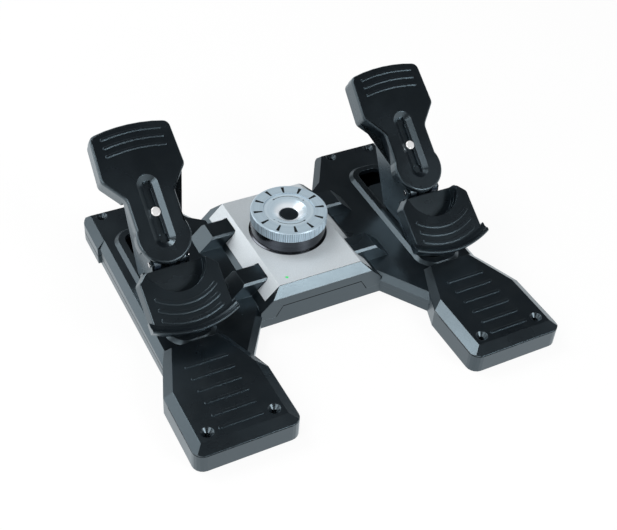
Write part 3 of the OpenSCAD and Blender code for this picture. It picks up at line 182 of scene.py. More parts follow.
def makeSoftEdge(look):  # rounds the light over sharp edges and says where they are
    group, given, gives = newGroup(
        "softEdge",
        [("Radius", "number", 0.0005), ("Breakup", "number", 160.0)],
        [("Normal", "vector"), ("Edge", "number")])
    bevel = addNode(group, "ShaderNodeBevel", samples=look["samples"])
    join(group, given["Radius"], bevel.inputs["Radius"])
    geometry = addNode(group, "ShaderNodeNewGeometry")
    dot = addNode(group, "ShaderNodeVectorMath", operation="DOT_PRODUCT")
    join(group, bevel.outputs["Normal"], dot.inputs[0])
    join(group, geometry.outputs["Normal"], dot.inputs[1])
    away = mathNode(group, "SUBTRACT", 1.0, dot.outputs["Value"])
    coords = addNode(group, "ShaderNodeTexCoord")
    patchy = addNode(group, "ShaderNodeTexNoise")
    patchy.inputs["Detail"].default_value = look["patchDetail"]
    join(group, coords.outputs["Object"], patchy.inputs["Vector"])
    join(group, given["Breakup"], patchy.inputs["Scale"])
    turned = rampNode(group, away, *look["turnBand"])
    # patchy edge mask, used both for worn edges and for painted edge highlights
    worn = mathNode(group, "MULTIPLY", turned, patchy.outputs["Fac"])
    join(group, bevel.outputs["Normal"], gives["Normal"])
    join(group, worn, gives["Edge"])
    return group


settledDust = {"detail": 8.0, "roughness": 0.65, "upBand": (0.4, 1.0), "patchBand": (0.42, 0.75)}


def makeSettledDust(look):  # thin dust on faces that look up
    group, given, gives = newGroup(
        "settledDust",
        [("Scale", "number", 60.0)],
        [("Dust", "number")])
    geometry = addNode(group, "ShaderNodeNewGeometry")
    split = addNode(group, "ShaderNodeSeparateXYZ")
    join(group, geometry.outputs["Normal"], split.inputs[0])
    coords = addNode(group, "ShaderNodeTexCoord")
    wide = addNode(group, "ShaderNodeTexNoise")
    wide.inputs["Detail"].default_value = look["detail"]
    wide.inputs["Roughness"].default_value = look["roughness"]
    join(group, coords.outputs["Object"], wide.inputs["Vector"])
    join(group, given["Scale"], wide.inputs["Scale"])
    up = rampNode(group, split.outputs["Z"], *look["upBand"])
    patches = rampNode(group, wide.outputs["Fac"], *look["patchBand"])
    join(group, mathNode(group, "MULTIPLY", up, patches), gives["Dust"])
    return group


def splitFromCentre(group, centre):  # how far each spot lies from a centre, as X, Y and Z
    coords = addNode(group, "ShaderNodeTexCoord")
    off = addNode(group, "ShaderNodeVectorMath", operation="SUBTRACT")
    join(group, coords.outputs["Object"], off.inputs[0])
    join(group, centre, off.inputs[1])
    split = addNode(group, "ShaderNodeSeparateXYZ")
    join(group, off.outputs[0], split.inputs[0])
    return split


turnedLines = {"detail": 3.0, "streakBand": (0.35, 0.7)}


def makeTurnedLines(look):  # rings left by a lathe round a centre
    group, given, gives = newGroup(
        "turnedLines",
        [("Centre", "vector", (0, 0, 0)), ("Scale", "number", 900.0)],
        [("Height", "number"), ("Streak", "number")])
    split = splitFromCentre(group, given["Centre"])
    flat = addNode(group, "ShaderNodeCombineXYZ")
    join(group, split.outputs["X"], flat.inputs["X"])
    join(group, split.outputs["Y"], flat.inputs["Y"])
    reach = addNode(group, "ShaderNodeVectorMath", operation="LENGTH")
    join(group, flat.outputs[0], reach.inputs[0])
    along = addNode(group, "ShaderNodeCombineXYZ")
    join(group, reach.outputs["Value"], along.inputs["X"])
    join(group, split.outputs["Z"], along.inputs["Y"])
    lines = addNode(group, "ShaderNodeTexNoise")
    lines.inputs["Detail"].default_value = look["detail"]
    join(group, along.outputs[0], lines.inputs["Vector"])
    join(group, given["Scale"], lines.inputs["Scale"])
    join(group, lines.outputs["Fac"], gives["Height"])
    join(group, rampNode(group, lines.outputs["Fac"], *look["streakBand"]), gives["Streak"])
    return group


knurl = {"sideBand": (0.5, 0.9), "grooveBand": (-0.2, 0.9)}


def makeKnurl(look):  # mask of upright grooves round the side of a round piece, for painted groove shade; the mesh has no grooves
    group, given, gives = newGroup(
        "knurl",
        [("Centre", "vector", (0, 0, 0)), ("Count", "number", 120.0)],
        [("Groove", "number")])
    split = splitFromCentre(group, given["Centre"])
    angle = mathNode(group, "ARCTAN2", split.outputs["Y"], split.outputs["X"])
    wave = mathNode(group, "COSINE", mathNode(group, "MULTIPLY", angle, given["Count"]))
    geometry = addNode(group, "ShaderNodeNewGeometry")
    facing = addNode(group, "ShaderNodeSeparateXYZ")
    join(group, geometry.outputs["Normal"], facing.inputs[0])
    upright = mathNode(group, "SUBTRACT", 1.0, mathNode(group, "ABSOLUTE", facing.outputs["Z"]))
    side = rampNode(group, upright, *look["sideBand"])
    groove = rampNode(group, wave, *look["grooveBand"])
    join(group, mathNode(group, "MULTIPLY", groove, side), gives["Groove"])
    return group


def makePaintFlake():  # metal flakes in silver paint
    group, given, gives = newGroup(
        "paintFlake",
        [("Scale", "number", 2200.0)],
        [("Height", "number"), ("Flake", "number")])
    coords = addNode(group, "ShaderNodeTexCoord")
    cells = addNode(group, "ShaderNodeTexVoronoi")
    join(group, coords.outputs["Object"], cells.inputs["Vector"])
    join(group, given["Scale"], cells.inputs["Scale"])
    split = addNode(group, "ShaderNodeSeparateColor")
    join(group, cells.outputs["Color"], split.inputs[0])
    join(group, split.outputs[0], gives["Flake"])
    join(group, split.outputs[1], gives["Height"])
    return group


grainGroup = makeMouldGrain(mouldGrain)
edgeGroup = makeSoftEdge(softEdge)
dustGroup = makeSettledDust(settledDust)
turnedGroup = makeTurnedLines(turnedLines)
knurlGroup = makeKnurl(knurl)
flakeGroup = makePaintFlake()


def placeGroup(tree, group, **values):
    made = addNode(tree, "ShaderNodeGroup")
    made.node_tree = group
    for key, value in values.items():
        made.inputs[key.replace("_", " ")].default_value = value
    return made.outputs


def mixColour(tree, factor, first, second):
    made = addNode(tree, "ShaderNodeMix", data_type="RGBA")
    join(tree, factor, made.inputs[0])
    for value, socket in ((first, made.inputs[6]), (second, made.inputs[7])):
        if isinstance(value, tuple):
            socket.default_value = (*value, 1.0)
        else:
            join(tree, value, socket)
    return made.outputs[2]


def mixValue(tree, factor, first, second):
    made = addNode(tree, "ShaderNodeMapRange")
    join(tree, factor, made.inputs["Value"])
    made.inputs["To Min"].default_value = first
    made.inputs["To Max"].default_value = second
    return made.outputs["Result"]


def scaled(tree, value, share):
    return mathNode(tree, "MULTIPLY", value, share, clamp=True)


def startMaterial(name):
    material = bpy.data.materials.new(name)
    material.use_nodes = True
    tree = material.node_tree
    return material, tree, tree.nodes["Principled BSDF"]


# materials

def rubbedColour(tree, edge, look, base):  # paler on the edges: partly real wear, partly a painted highlight along them
    return mixColour(tree, scaled(tree, edge["Edge"], look["wear"]), base, look["rubbed"])


def dustyColour(tree, look, base):
    dust = placeGroup(tree, dustGroup)
    return mixColour(tree, scaled(tree, dust["Dust"], look["dust"]), base, look["dustColour"])


def addRoughness(tree, shader, cloud, look):
    less, more = look["roughSpread"]
    rough = mixValue(tree, cloud, look["rough"] - less, look["rough"] + more)
    join(tree, rough, shader.inputs["Roughness"])


def addBump(tree, shader, height, normal, look):
    bump = addNode(tree, "ShaderNodeBump")
    bump.inputs["Strength"].default_value = look["depth"]
    bump.inputs["Distance"].default_value = look["bump"]
    join(tree, height, bump.inputs["Height"])
    join(tree, normal, bump.inputs["Normal"])
    join(tree, bump.outputs["Normal"], shader.inputs["Normal"])


def plastic(name, look):
    material, tree, shader = startMaterial(name)
    grain = placeGroup(tree, grainGroup, Scale=look["grain"], Cloud_Scale=look["cloud"])
    edge = placeGroup(tree, edgeGroup, Radius=look["edge"])
    base = mixColour(tree, grain["Cloud"], look["dark"], look["light"])
    colour = dustyColour(tree, look, rubbedColour(tree, edge, look, base))
    join(tree, colour, shader.inputs["Base Color"])
    addRoughness(tree, shader, grain["Cloud"], look)
    shader.inputs["Specular IOR Level"].default_value = look["gloss"]
    shader.inputs["Specular Tint"].default_value = (*look["tint"], 1.0)
    shader.inputs["Coat Weight"].default_value = look["coat"]
    shader.inputs["Coat Roughness"].default_value = look["coatRough"]
    shader.inputs["Coat Tint"].default_value = (*look["tint"], 1.0)
    addBump(tree, shader, grain["Height"], edge["Normal"], look)
    return material


def metal(name, look, centre=None):
    material, tree, shader = startMaterial(name)
    edge = placeGroup(tree, edgeGroup, Radius=look["edge"])
    grain = placeGroup(tree, grainGroup, Scale=look["grain"], Cloud_Scale=look["cloud"])
    if centre is None:
        height, streak = grain["Height"], grain["Cloud"]
    else:
        turned = placeGroup(tree, turnedGroup, Centre=centre, Scale=look["lines"])
        height, streak = turned["Height"], turned["Streak"]
    base = mixColour(tree, streak, look["dark"], look["light"])
    colour = rubbedColour(tree, edge, look, base)
    # painted shade: darker stripes where the knurl's grooves would hold shadow
    if "grooves" in look:
        pressed = placeGroup(tree, knurlGroup, Centre=centre, Count=look["grooves"])
        colour = mixColour(
            tree, scaled(tree, pressed["Groove"], look["grooveShare"]), colour, look["grooveColour"])
    if "dish" in look:      # paler below the named height, where the face is dished
        coords = addNode(tree, "ShaderNodeTexCoord")
        split = addNode(tree, "ShaderNodeSeparateXYZ")
        join(tree, coords.outputs["Object"], split.inputs[0])
        below = mathNode(tree, "SUBTRACT", look["dishTop"], split.outputs["Z"])
        colour = mixColour(tree, rampNode(tree, below, 0.0, look["dishBlend"]), colour, look["dish"])
    join(tree, colour, shader.inputs["Base Color"])
    addRoughness(tree, shader, grain["Cloud"], look)
    shader.inputs["Metallic"].default_value = look["metallic"]
    addBump(tree, shader, height, edge["Normal"], look)
    return material


def silverPaint(name, look):
    material, tree, shader = startMaterial(name)
    flake = placeGroup(tree, flakeGroup, Scale=look["flake"])
    grain = placeGroup(tree, grainGroup, Scale=look["grain"], Cloud_Scale=look["cloud"])
    edge = placeGroup(tree, edgeGroup, Radius=look["edge"])
    base = mixColour(tree, flake["Flake"], look["dark"], look["light"])
    colour = dustyColour(tree, look, rubbedColour(tree, edge, look, base))
    join(tree, colour, shader.inputs["Base Color"])
    addRoughness(tree, shader, grain["Cloud"], look)
    shader.inputs["Metallic"].default_value = look["metallic"]
    addBump(tree, shader, flake["Height"], edge["Normal"], look)
    return material


def lensGreen(name, look):  # green lens, lit from inside by a small lamp
    material, tree, shader = startMaterial(name)
    grain = placeGroup(tree, grainGroup, Scale=look["grain"], Cloud_Scale=look["cloud"])
    glow = mixColour(tree, grain["Cloud"], look["dark"], look["light"])
    join(tree, glow, shader.inputs["Base Color"])
    join(tree, glow, shader.inputs["Emission Color"])
    shader.inputs["Emission Strength"].default_value = look["glow"]
    shader.inputs["Roughness"].default_value = look["rough"]
    return material


blackPlastic = {
    "dark": (0.0034, 0.0050, 0.0068), "light": (0.0056, 0.0076, 0.0098),
    # the edge colour here and the edge share below are partly wear, partly a painted highlight on the edges
    "rubbed": (0.06, 0.070, 0.080),
    "rough": 0.33, "roughSpread": (0.04, 0.05), "gloss": 1.0, "tint": (0.72, 0.90, 1.0),
    "coat": 0.5, "coatRough": 0.3, "grain": 1500.0, "cloud": 12.0, "depth": 0.20, "bump": 0.0002,
    "edge": 0.0007, "wear": 0.6, "dust": 0.008, "dustColour": (0.35, 0.34, 0.32),
}
brightMetal = {
    "dark": (0.52, 0.53, 0.55), "light": (0.70, 0.71, 0.73), "rubbed": (0.85, 0.86, 0.88),
    "rough": 0.28, "roughSpread": (0.03, 0.05), "metallic": 1.0,
    "grain": 900.0, "cloud": 60.0, "depth": 0.15, "bump": 0.0001, "edge": 0.0003, "wear": 0.5,
}
coverSilver = {
    "dark": (0.62, 0.68, 0.72), "light": (0.73, 0.79, 0.83), "rubbed": (0.82, 0.86, 0.89),
    "rough": 0.40, "roughSpread": (0.03, 0.04), "metallic": 0.30,
    "grain": 1200.0, "cloud": 18.0, "flake": 2600.0, "depth": 0.12, "bump": 0.0001,
    "edge": 0.0006, "wear": 0.3, "dust": 0.05, "dustColour": (0.5, 0.49, 0.47),
}
statusLens = {
    "dark": (0.02, 0.42, 0.10), "light": (0.08, 0.75, 0.22), "grain": 2500.0, "cloud": 500.0,
    "glow": 0.5, "rough": 0.2,
}
dialCentre = (*joints["tension_dial"]["pos_m"][:2], 0.0)
dishDepth = 0.0008          # how far below the face's rim its pale dish starts


def like(base, **changes):
    return {**base, **changes}


finishes = {
    "base_plastic": plastic("basePlastic", like(blackPlastic, rough=0.31, cloud=9.0)),
    "shell_plastic": plastic("shellPlastic", like(blackPlastic, rough=0.29, cloud=10.0, dust=0.012)),
    "cover_paint": silverPaint("coverPaint", coverSilver),
    "collar_chrome": metal("collarChrome", like(
        brightMetal, dark=(0.055, 0.06, 0.07), light=(0.10, 0.105, 0.12), rubbed=(0.25, 0.26, 0.28),
        rough=0.16, lines=1800.0, depth=0.06), dialCentre),
    "bush_brass": metal("bushBrass", like(
        brightMetal, dark=(0.50, 0.36, 0.14), light=(0.68, 0.50, 0.22), rubbed=(0.8, 0.65, 0.35))),
    "foot_rubber": plastic("footRubber", like(
        blackPlastic, dark=(0.016, 0.016, 0.016), light=(0.026, 0.026, 0.026),
        rough=0.72, gloss=0.3, coat=0.0, grain=900.0, depth=0.5, dust=0.15)),
    "screw_steel": metal("screwSteel", like(
        brightMetal, dark=(0.16, 0.16, 0.17), light=(0.26, 0.26, 0.27), rubbed=(0.5, 0.5, 0.52),
        rough=0.34)),
    "rod_steel": metal("rodSteel", like(brightMetal, rough=0.14, depth=0.05)),
    "inner_plastic": plastic("innerPlastic", like(
        blackPlastic, dark=(0.035, 0.036, 0.04), light=(0.05, 0.052, 0.056), rough=0.5)),
    "board_laminate": plastic("boardLaminate", like(
        blackPlastic, dark=(0.006, 0.075, 0.03), light=(0.012, 0.12, 0.05),
        rubbed=(0.35, 0.3, 0.16), rough=0.3, grain=500.0, cloud=90.0)),
    "grommet_rubber": plastic("grommetRubber", like(
        blackPlastic, dark=(0.014, 0.014, 0.015), light=(0.022, 0.022, 0.023),
        rough=0.65, depth=0.4)),
    "sensor_body": plastic("sensorBody", like(
        blackPlastic, dark=(0.010, 0.014, 0.026), light=(0.014, 0.020, 0.036), rough=0.45)),
    "rocker_steel": metal("rockerSteel", like(
        brightMetal, dark=(0.42, 0.42, 0.40), light=(0.58, 0.57, 0.54), rough=0.32)),
    "friction_lining": plastic("frictionLining", like(
        blackPlastic, dark=(0.10, 0.06, 0.035), light=(0.17, 0.10, 0.06),
        rough=0.8, grain=700.0, depth=0.7)),
    "spring_steel": metal("springSteel", like(
        brightMetal, dark=(0.34, 0.34, 0.35), light=(0.50, 0.50, 0.51))),
    "ring_metal": metal("ringMetal", like(
        brightMetal, dark=(0.44, 0.56, 0.65), light=(0.57, 0.70, 0.79), rubbed=(0.80, 0.86, 0.90),
        rough=0.30, lines=2600.0, depth=0.04, metallic=0.35, wear=0.2, cloud=8.0,
        grooves=110.0, grooveShare=0.6, grooveColour=(0.16, 0.20, 0.25)), dialCentre),
    "face_metal": metal("faceMetal", like(
        brightMetal, dark=(0.50, 0.62, 0.71), light=(0.63, 0.75, 0.83), rubbed=(0.84, 0.89, 0.92),
        rough=0.27, lines=2200.0, depth=0.03, metallic=0.30, wear=0.15, cloud=8.0,
        dish=(0.86, 0.92, 0.97), dishTop=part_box("dial_face")[1].z - dishDepth, dishBlend=0.004),
        dialCentre),
    "cap_plastic": plastic("capPlastic", like(blackPlastic, rough=0.30, depth=0.1)),
    "carriage_plastic": plastic("carriagePlastic", like(blackPlastic, rough=0.45)),
    "arm_plastic": plastic("armPlastic", like(blackPlastic, rough=0.28)),
    "heel_plastic": plastic("heelPlastic", like(blackPlastic, rough=0.27)),
    "bolt_nickel": metal("boltNickel", like(
        brightMetal, dark=(0.80, 0.80, 0.80), light=(0.90, 0.90, 0.90), rough=0.32, metallic=0.4)),
    "knob_plastic": plastic("knobPlastic", like(blackPlastic, rough=0.45)),
    "toe_plastic": plastic("toePlastic", like(blackPlastic, rough=0.27)),
    "toe_back_plastic": plastic("toeBackPlastic", like(blackPlastic, rough=0.30)),
    "light_lens": lensGreen("lightLens", statusLens),
}
extraFinishes = {
    "seamGap": plastic("seamGap", like(     # painted shadow of the gap between two mouldings
        blackPlastic, dark=(0.0010, 0.0012, 0.0014), light=(0.0018, 0.0020, 0.0024),
        rubbed=(0.004, 0.004, 0.005), rough=0.8, gloss=0.1, coat=0.0, dust=0.0)),
    "markInk": plastic("markInk", like(
        blackPlastic, dark=(0.004, 0.005, 0.006), light=(0.007, 0.008, 0.009),
        rubbed=(0.02, 0.02, 0.02), rough=0.6, gloss=0.3, coat=0.0)),
}

for entry in frame["record"]["subparts"]:
    for place in parts[entry["node"]].material_slots:
        place.material = finishes[entry["material_slot"]]
print("materials set")


# building pieces in mesh code

def showMesh(name, bm, slotName, body, sharp=34.0, finish=None):
    mesh = bpy.data.meshes.new(name)
    bmesh.ops.recalc_face_normals(bm, faces=bm.faces)
    bm.to_mesh(mesh)
    bm.free()
    mesh.polygons.foreach_set("use_smooth", [True] * len(mesh.polygons))
    mesh.set_sharp_from_angle(angle=math.radians(sharp))
    mesh.materials.append(finish or finishes[slotName])
    piece = bpy.data.objects.new(name, mesh)
    bpy.context.scene.collection.objects.link(piece)
    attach(piece, body)
    return piece


def addRings(bm, rings):  # skin over rings of points, with caps at the ends
    made = [[bm.verts.new(p) for p in ring] for ring in rings]
    count = len(made[0])
    for low, high in zip(made, made[1:]):
        for i in range(count):
            j = (i + 1) % count
            bm.faces.new((low[i], low[j], high[j], high[i]))
    bm.faces.new(made[0][::-1])
    bm.faces.new(made[-1])


def sweepTube(bm, points, radius, count=14):
    up = Vector((0.03, 0.02, 1))        # any direction that the path never takes
    rings = []
    for i, point in enumerate(points):
        ahead = points[min(i + 1, len(points) - 1)] - points[max(i - 1, 0)]
        out = ahead.cross(up).normalized()
        up = out.cross(ahead).normalized()
        rings.append([
            point + radius * (math.cos(a) * out + math.sin(a) * up)
            for a in (2 * math.pi * k / count for k in range(count))])
    addRings(bm, rings)


# coil springs behind the toe plates

brakeSpring = {
    "seat": -0.0191, "top": -0.0009,    # from the brake's axle, square to the toe plate
    "along": 0.028,                     # and up along it
    "coil": 0.005, "wire": 0.0008, "turns": 5.5, "steps": 36,
    "flat": 0.09,           # share of the turns that lies flat at each end
    "touch": 1.2,           # wires between a flat turn and the next one
    "pressed": 0.58,        # share of its length left at full brake, under the tilted carrier
    "sharp": 60.0,
}


def brakePlace(side):  # the brake's axle, turned so that Y runs up along the toe plate
    axle = Vector(joints[side + "_toe_brake"]["pos_m"])
    slide = Vector(joints[side + "_toe_height"]["axis"])
    return Matrix.Translation(axle) @ Matrix.Rotation(math.atan2(slide.z, slide.y), 4, "X")


def addBrakeSpring(side, look):
    place = brakePlace(side)
    count = int(look["turns"] * look["steps"])
    lift = look["wire"] * look["touch"]
    climb = look["top"] - look["seat"] - 2 * lift
    points = []
    for i in range(count + 1):
        share = i / count
        rise = min(max((share - look["flat"]) / (1 - 2 * look["flat"]), 0), 1)
        height = look["seat"] + lift * min(share / look["flat"], 1) + climb * rise
        height += lift * max((share - 1 + look["flat"]) / look["flat"], 0)
        angle = 2 * math.pi * look["turns"] * share
        across, along = look["coil"] * math.cos(angle), look["coil"] * math.sin(angle)
        points.append(place @ Vector((across, look["along"] + along, height)))
    bm = bmesh.new()
    sweepTube(bm, points, look["wire"])
    spring = showMesh(side + "BrakeCoil", bm, "spring_steel", side + "_carriage", look["sharp"])
    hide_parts(side + "_brake_spring")
    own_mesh(spring)


for sideName in ("left", "right"):
    addBrakeSpring(sideName, brakeSpring)
print("springs made")


# marks on the dial

dialMarks = {
    "arcs": [                           # degrees round the dial, each with an arrow head at its end
        {"from": 214, "to": 286, "sign": "minus"},
        {"from": 34, "to": 106, "sign": "plus"},
    ],
    "radius": 0.0253, "width": 0.0006, "steps": 18,
    "head": 0.0021, "headLong": 1.5,    # width of the arrow head, and its length in widths
    "sign": 0.0019, "signGap": 12,      # width of the sign, and its degrees before the arc
    "thick": 0.00007, "deep": 0.00002,
}
dialTicks = {
    "count": 12, "inner": 0.0310, "outer": 0.0412, "narrow": 0.0019, "wide": 0.0038,
    "thick": 0.0001, "deep": 0.00002,
}


def flatPlate(bm, outline, low, high):
    bottom = [bm.verts.new((x, y, low)) for x, y in outline]
    top = [bm.verts.new((x, y, high)) for x, y in outline]
    count = len(outline)
    for i in range(count):
        j = (i + 1) % count
        bm.faces.new((bottom[i], bottom[j], top[j], top[i]))
    bm.faces.new(bottom[::-1])
    bm.faces.new(top)


def flatBar(bm, middle, halfWide, halfTall, low, high):
    left, right = middle[0] - halfWide, middle[0] + halfWide
    front, back = middle[1] - halfTall, middle[1] + halfTall
    flatPlate(bm, [(left, front), (right, front), (right, back), (left, back)], low, high)


def onDial(radius, degrees):
    angle = math.radians(degrees)
    return (dialCentre[0] + radius * math.cos(angle), dialCentre[1] + radius * math.sin(angle))


def addDialTicks(look):  # dark filling of the ring's wedge recesses
    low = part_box("dial_ring")[1].z - look["deep"]
    corners = [
        (look["inner"], -look["narrow"] / 2), (look["outer"], -look["wide"] / 2),
        (look["outer"], look["wide"] / 2), (look["inner"], look["narrow"] / 2)]
    bm = bmesh.new()
    for k in range(look["count"]):
        turn = Matrix.Rotation(2 * math.pi * (k + 0.5) / look["count"], 4, "Z")
        spots = [turn @ Vector((x, y, 0)) + Vector(dialCentre) for x, y in corners]
        flatPlate(bm, [(spot.x, spot.y) for spot in spots], low, low + look["thick"])
    showMesh("dialTickInlays", bm, "cap_plastic", "dial", finish=extraFinishes["markInk"])


def addDialMarks(look):  # an arrow each way round the face, with its sign
    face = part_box("dial_face")[1].z
    low, high = face - look["deep"], face + look["thick"]
    half, headHalf, signHalf = look["width"] / 2, look["head"] / 2, look["sign"] / 2
    bm = bmesh.new()
    for arc in look["arcs"]:
        sweep = (arc["to"] - arc["from"]) / look["steps"]
        angles = [arc["from"] + sweep * k for k in range(look["steps"] + 1)]
        outer = [onDial(look["radius"] + half, a) for a in angles]
        inner = [onDial(look["radius"] - half, a) for a in angles]
        for k in range(look["steps"]):
            flatPlate(bm, [outer[k], outer[k + 1], inner[k + 1], inner[k]], low, high)
        tip = arc["to"] + math.degrees(look["head"] * look["headLong"] / look["radius"])
        flatPlate(bm, [
            onDial(look["radius"], tip), onDial(look["radius"] - headHalf, arc["to"]),
            onDial(look["radius"] + headHalf, arc["to"])], low, high)
        middle = onDial(look["radius"], arc["from"] - look["signGap"])
        flatBar(bm, middle, signHalf, half, low, high)
        if arc["sign"] == "plus":       # its upright is two short bars, above and below
            for way in (-1, 1):
                spot = (middle[0], middle[1] + way * (half + signHalf) / 2)
                flatBar(bm, spot, half, (signHalf - half) / 2, low, high)
    showMesh("dialTensionMarks", bm, "cap_plastic", "dial", finish=extraFinishes["markInk"])


addDialTicks(dialTicks)
addDialMarks(dialMarks)
print("dial marks made")


# dark strips painted as the shadow in the gaps where the mouldings of the base meet

seamLines = [
    # part with the wall, its outlines at that height, half width, and where the line ends behind
    {"name": "baseSeam", "part": "upper_shell", "outlines": 1,
     "height": 0.0124, "half": 0.00045, "to": 0.3},
    {"name": "footSeam", "part": "bottom_tray", "outlines": 2,
     "height": 0.0235, "half": 0.0004, "to": -0.118},
]
consoleSeam = {
    "corners": [(-0.058, 0.0124), (-0.050, 0.0260), (0.050, 0.0260), (0.058, 0.0124)],  # x, height
    "half": 0.00045,
    "above": 0.025,         # only the wall under this line reaches so high on the tray
}
seamProud = 0.00006         # how far a line stands off its wall
seamRoot = 0.0003           # and how far it reaches into it
seamStep = 0.004            # longest straight stretch between two points of a line
weldGap = 0.000001          # points nearer than this are one
sliceGap = 0.00001          # the same for points of a slice


def outlines(node, height, most):  # largest outlines of a part at one height, anticlockwise
    cut = bmesh.new()
    cut.from_mesh(parts[node].data)
    bmesh.ops.remove_doubles(cut, verts=cut.verts, dist=weldGap)
    bmesh.ops.bisect_plane(
        cut, geom=[*cut.verts, *cut.edges, *cut.faces],
        plane_co=(0, 0, height), plane_no=(0, 0, 1), clear_inner=True, clear_outer=True)
    bmesh.ops.remove_doubles(cut, verts=cut.verts, dist=sliceGap)
    seen, found = set(), []
    for start in cut.verts:
        if start in seen:
            continue
        loop, here = [], start
        while here is not None:
            seen.add(here)
            loop.append((here.co.x, here.co.y))
            ahead = [e.other_vert(here) for e in here.link_edges]
            here = next((v for v in ahead if v not in seen), None)
        area = sum(a[0] * b[1] - b[0] * a[1] for a, b in zip(loop, loop[1:] + loop[:1])) / 2
        found.append((abs(area), loop if area > 0 else loop[::-1]))
    cut.free()
    found.sort(key=lambda pair: -pair[0])
    return [loop for area, loop in found[:most]]


def finerLoop(loop, step):  # same outline with points no further apart than the step
    made = []
    for a, b in zip(loop, loop[1:] + loop[:1]):
        count = max(1, math.ceil(math.dist(a, b) / step))
        made += [
            (a[0] + (b[0] - a[0]) * k / count, a[1] + (b[1] - a[1]) * k / count) for k in range(count)]
    return made


# a dark strip along the wall, the painted shadow of the seam gap
def addSeamLine(look):
    half = look["half"]
    section = [(-seamRoot, -half), (seamProud, -half), (seamProud, half), (-seamRoot, half)]
    bm = bmesh.new()
    for outline in outlines(look["part"], look["height"], look["outlines"]):
        loop = finerLoop(outline, seamStep)
        count = len(loop)
        rings = []
        for i in range(count + 1):
            here, before, after = (Vector(loop[k % count]) for k in (i, i - 1, i + 1))
            along = (after - before).normalized()
            out = Vector((along.y, -along.x))
            inside = here.y < look["to"]
            if inside:
                rings.append([(*(here + out * way), look["height"] + rise) for way, rise in section])
            if rings and (not inside or i == count):
                if len(rings) > 1:
                    addRings(bm, rings)
                rings = []
    showMesh(look["name"], bm, "shell_plastic", "base", finish=extraFinishes["seamGap"])


# the same painted seam shadow across the console's front wall
def addConsoleSeam(look):  # steps up over the middle of the console's front wall
    wall = min(v.co.y for v in parts["bottom_tray"].data.vertices if v.co.z > look["above"])
    section = [(-1, seamRoot), (-1, -seamProud), (1, -seamProud), (1, seamRoot)]
    corners = [Vector(corner) for corner in look["corners"]]
    rings = []
    for i, corner in enumerate(corners):
        along = corners[min(i + 1, len(corners) - 1)] - corners[max(i - 1, 0)]
        along = along.normalized() * look["half"]
        rings.append([
            (corner.x - along.y * way, wall + depth, corner.y + along.x * way)
            for way, depth in section])
    bm = bmesh.new()
    addRings(bm, rings)
    showMesh("consoleSeam", bm, "shell_plastic", "base", finish=extraFinishes["seamGap"])


for seamLine in seamLines:
    addSeamLine(seamLine)
addConsoleSeam(consoleSeam)
print("seam lines made")


# floor and light

def seenOrMirrored(tree):  # rays from the camera and those that metal reflects
    path = addNode(tree, "ShaderNodeLightPath")
    both = mathNode(tree, "MAXIMUM", path.outputs["Is Camera Ray"], path.outputs["Is Glossy Ray"])
    return mathNode(tree, "MAXIMUM", both, path.outputs["Is Transmission Ray"])


floorLook = {
    "size": 8.0, "colour": (0.86, 0.86, 0.86), "paler": 0.03, "grain": 300.0, "cloud": 2.0,
    "rough": 0.9, "white": 0.90,        # share of plain white that the camera and metal see
}


def addFloor(look):
    half = look["size"] / 2
    mesh = bpy.data.meshes.new("floor")
    low = cadBox[0][2]
    corners = [(-half, -half, low), (half, -half, low), (half, half, low), (-half, half, low)]
    mesh.from_pydata(corners, [], [(0, 1, 2, 3)])
    floor = bpy.data.objects.new("floor", mesh)
    bpy.context.scene.collection.objects.link(floor)
    material, tree, shader = startMaterial("floorPaper")
    grain = placeGroup(tree, grainGroup, Scale=look["grain"], Cloud_Scale=look["cloud"])
    paler = tuple(c + look["paler"] for c in look["colour"])
    join(tree, mixColour(tree, grain["Cloud"], look["colour"], paler), shader.inputs["Base Color"])
    shader.inputs["Roughness"].default_value = look["rough"]
    shader.inputs["Specular IOR Level"].default_value = 0.0
    white = addNode(tree, "ShaderNodeEmission")
    mix = addNode(tree, "ShaderNodeMixShader")
    join(tree, scaled(tree, seenOrMirrored(tree), look["white"]), mix.inputs[0])
    join(tree, shader.outputs[0], mix.inputs[1])
    join(tree, white.outputs[0], mix.inputs[2])
    join(tree, mix.outputs[0], tree.nodes["Material Output"].inputs["Surface"])
    mesh.materials.append(material)


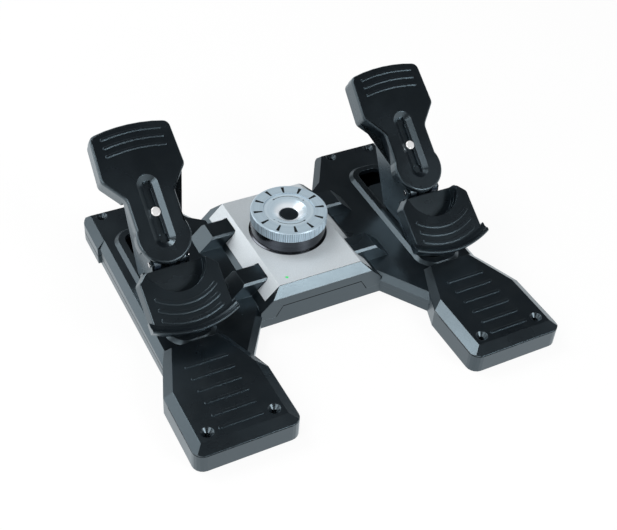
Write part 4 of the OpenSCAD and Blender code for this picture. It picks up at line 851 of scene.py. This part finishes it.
lampAim = (0, 0, 0.05)
lampLooks = [
    {"name": "keyLeft", "place": (-1.75, -0.75, 1.35), "size": 1.3, "power": 18.0},
    {"name": "lowLeft", "place": (-1.7, 1.25, 0.75), "size": 1.5, "power": 12.0},
    {"name": "topBack", "place": (-0.9, 1.3, 2.2), "size": 1.2, "power": 26.0},
    {"name": "frontFill", "place": (0.95, -1.85, 1.25), "size": 0.95, "power": 26.0},
]


def addLamp(look):
    data = bpy.data.lights.new(look["name"], "AREA")
    data.shape = "SQUARE"
    data.size = look["size"]
    data.energy = look["power"]
    lamp = bpy.data.objects.new(look["name"], data)
    lamp.location = look["place"]
    ray = Vector(lampAim) - Vector(look["place"])
    lamp.rotation_euler = ray.to_track_quat("-Z", "Y").to_euler()
    bpy.context.scene.collection.objects.link(lamp)


worldLook = {
    "low": 0.9, "high": 0.03,           # brightness that surfaces mirror, near the floor and overhead
    "bandLow": 0.10, "bandHigh": 0.36,  # where one turns into the other
    "diffuse": 0.45,
}


def addWorld(look):
    world = bpy.data.worlds.new("studio")
    bpy.context.scene.world = world
    world.use_nodes = True
    tree = world.node_tree
    background = tree.nodes["Background"]
    coords = addNode(tree, "ShaderNodeTexCoord")
    split = addNode(tree, "ShaderNodeSeparateXYZ")
    join(tree, coords.outputs["Generated"], split.inputs[0])
    height = rampNode(tree, split.outputs["Z"], look["bandLow"], look["bandHigh"])
    level = mixValue(tree, height, look["low"], look["high"])
    path = addNode(tree, "ShaderNodeLightPath")
    seen = mathNode(
        tree, "MAXIMUM", path.outputs["Is Camera Ray"], path.outputs["Is Transmission Ray"])
    mirrored = mathNode(tree, "MULTIPLY", level, path.outputs["Is Glossy Ray"])
    diffuse = mathNode(tree, "MULTIPLY", path.outputs["Is Diffuse Ray"], look["diffuse"])
    strength = mathNode(tree, "MAXIMUM", mathNode(tree, "MAXIMUM", mirrored, diffuse), seen)
    join(tree, strength, background.inputs["Strength"])
    background.inputs["Color"].default_value = (1, 1, 1, 1)


addFloor(floorLook)
for lampLook in lampLooks:
    addLamp(lampLook)
addWorld(worldLook)
bpy.context.scene.view_settings.view_transform = "Standard"
print("floor and light set")
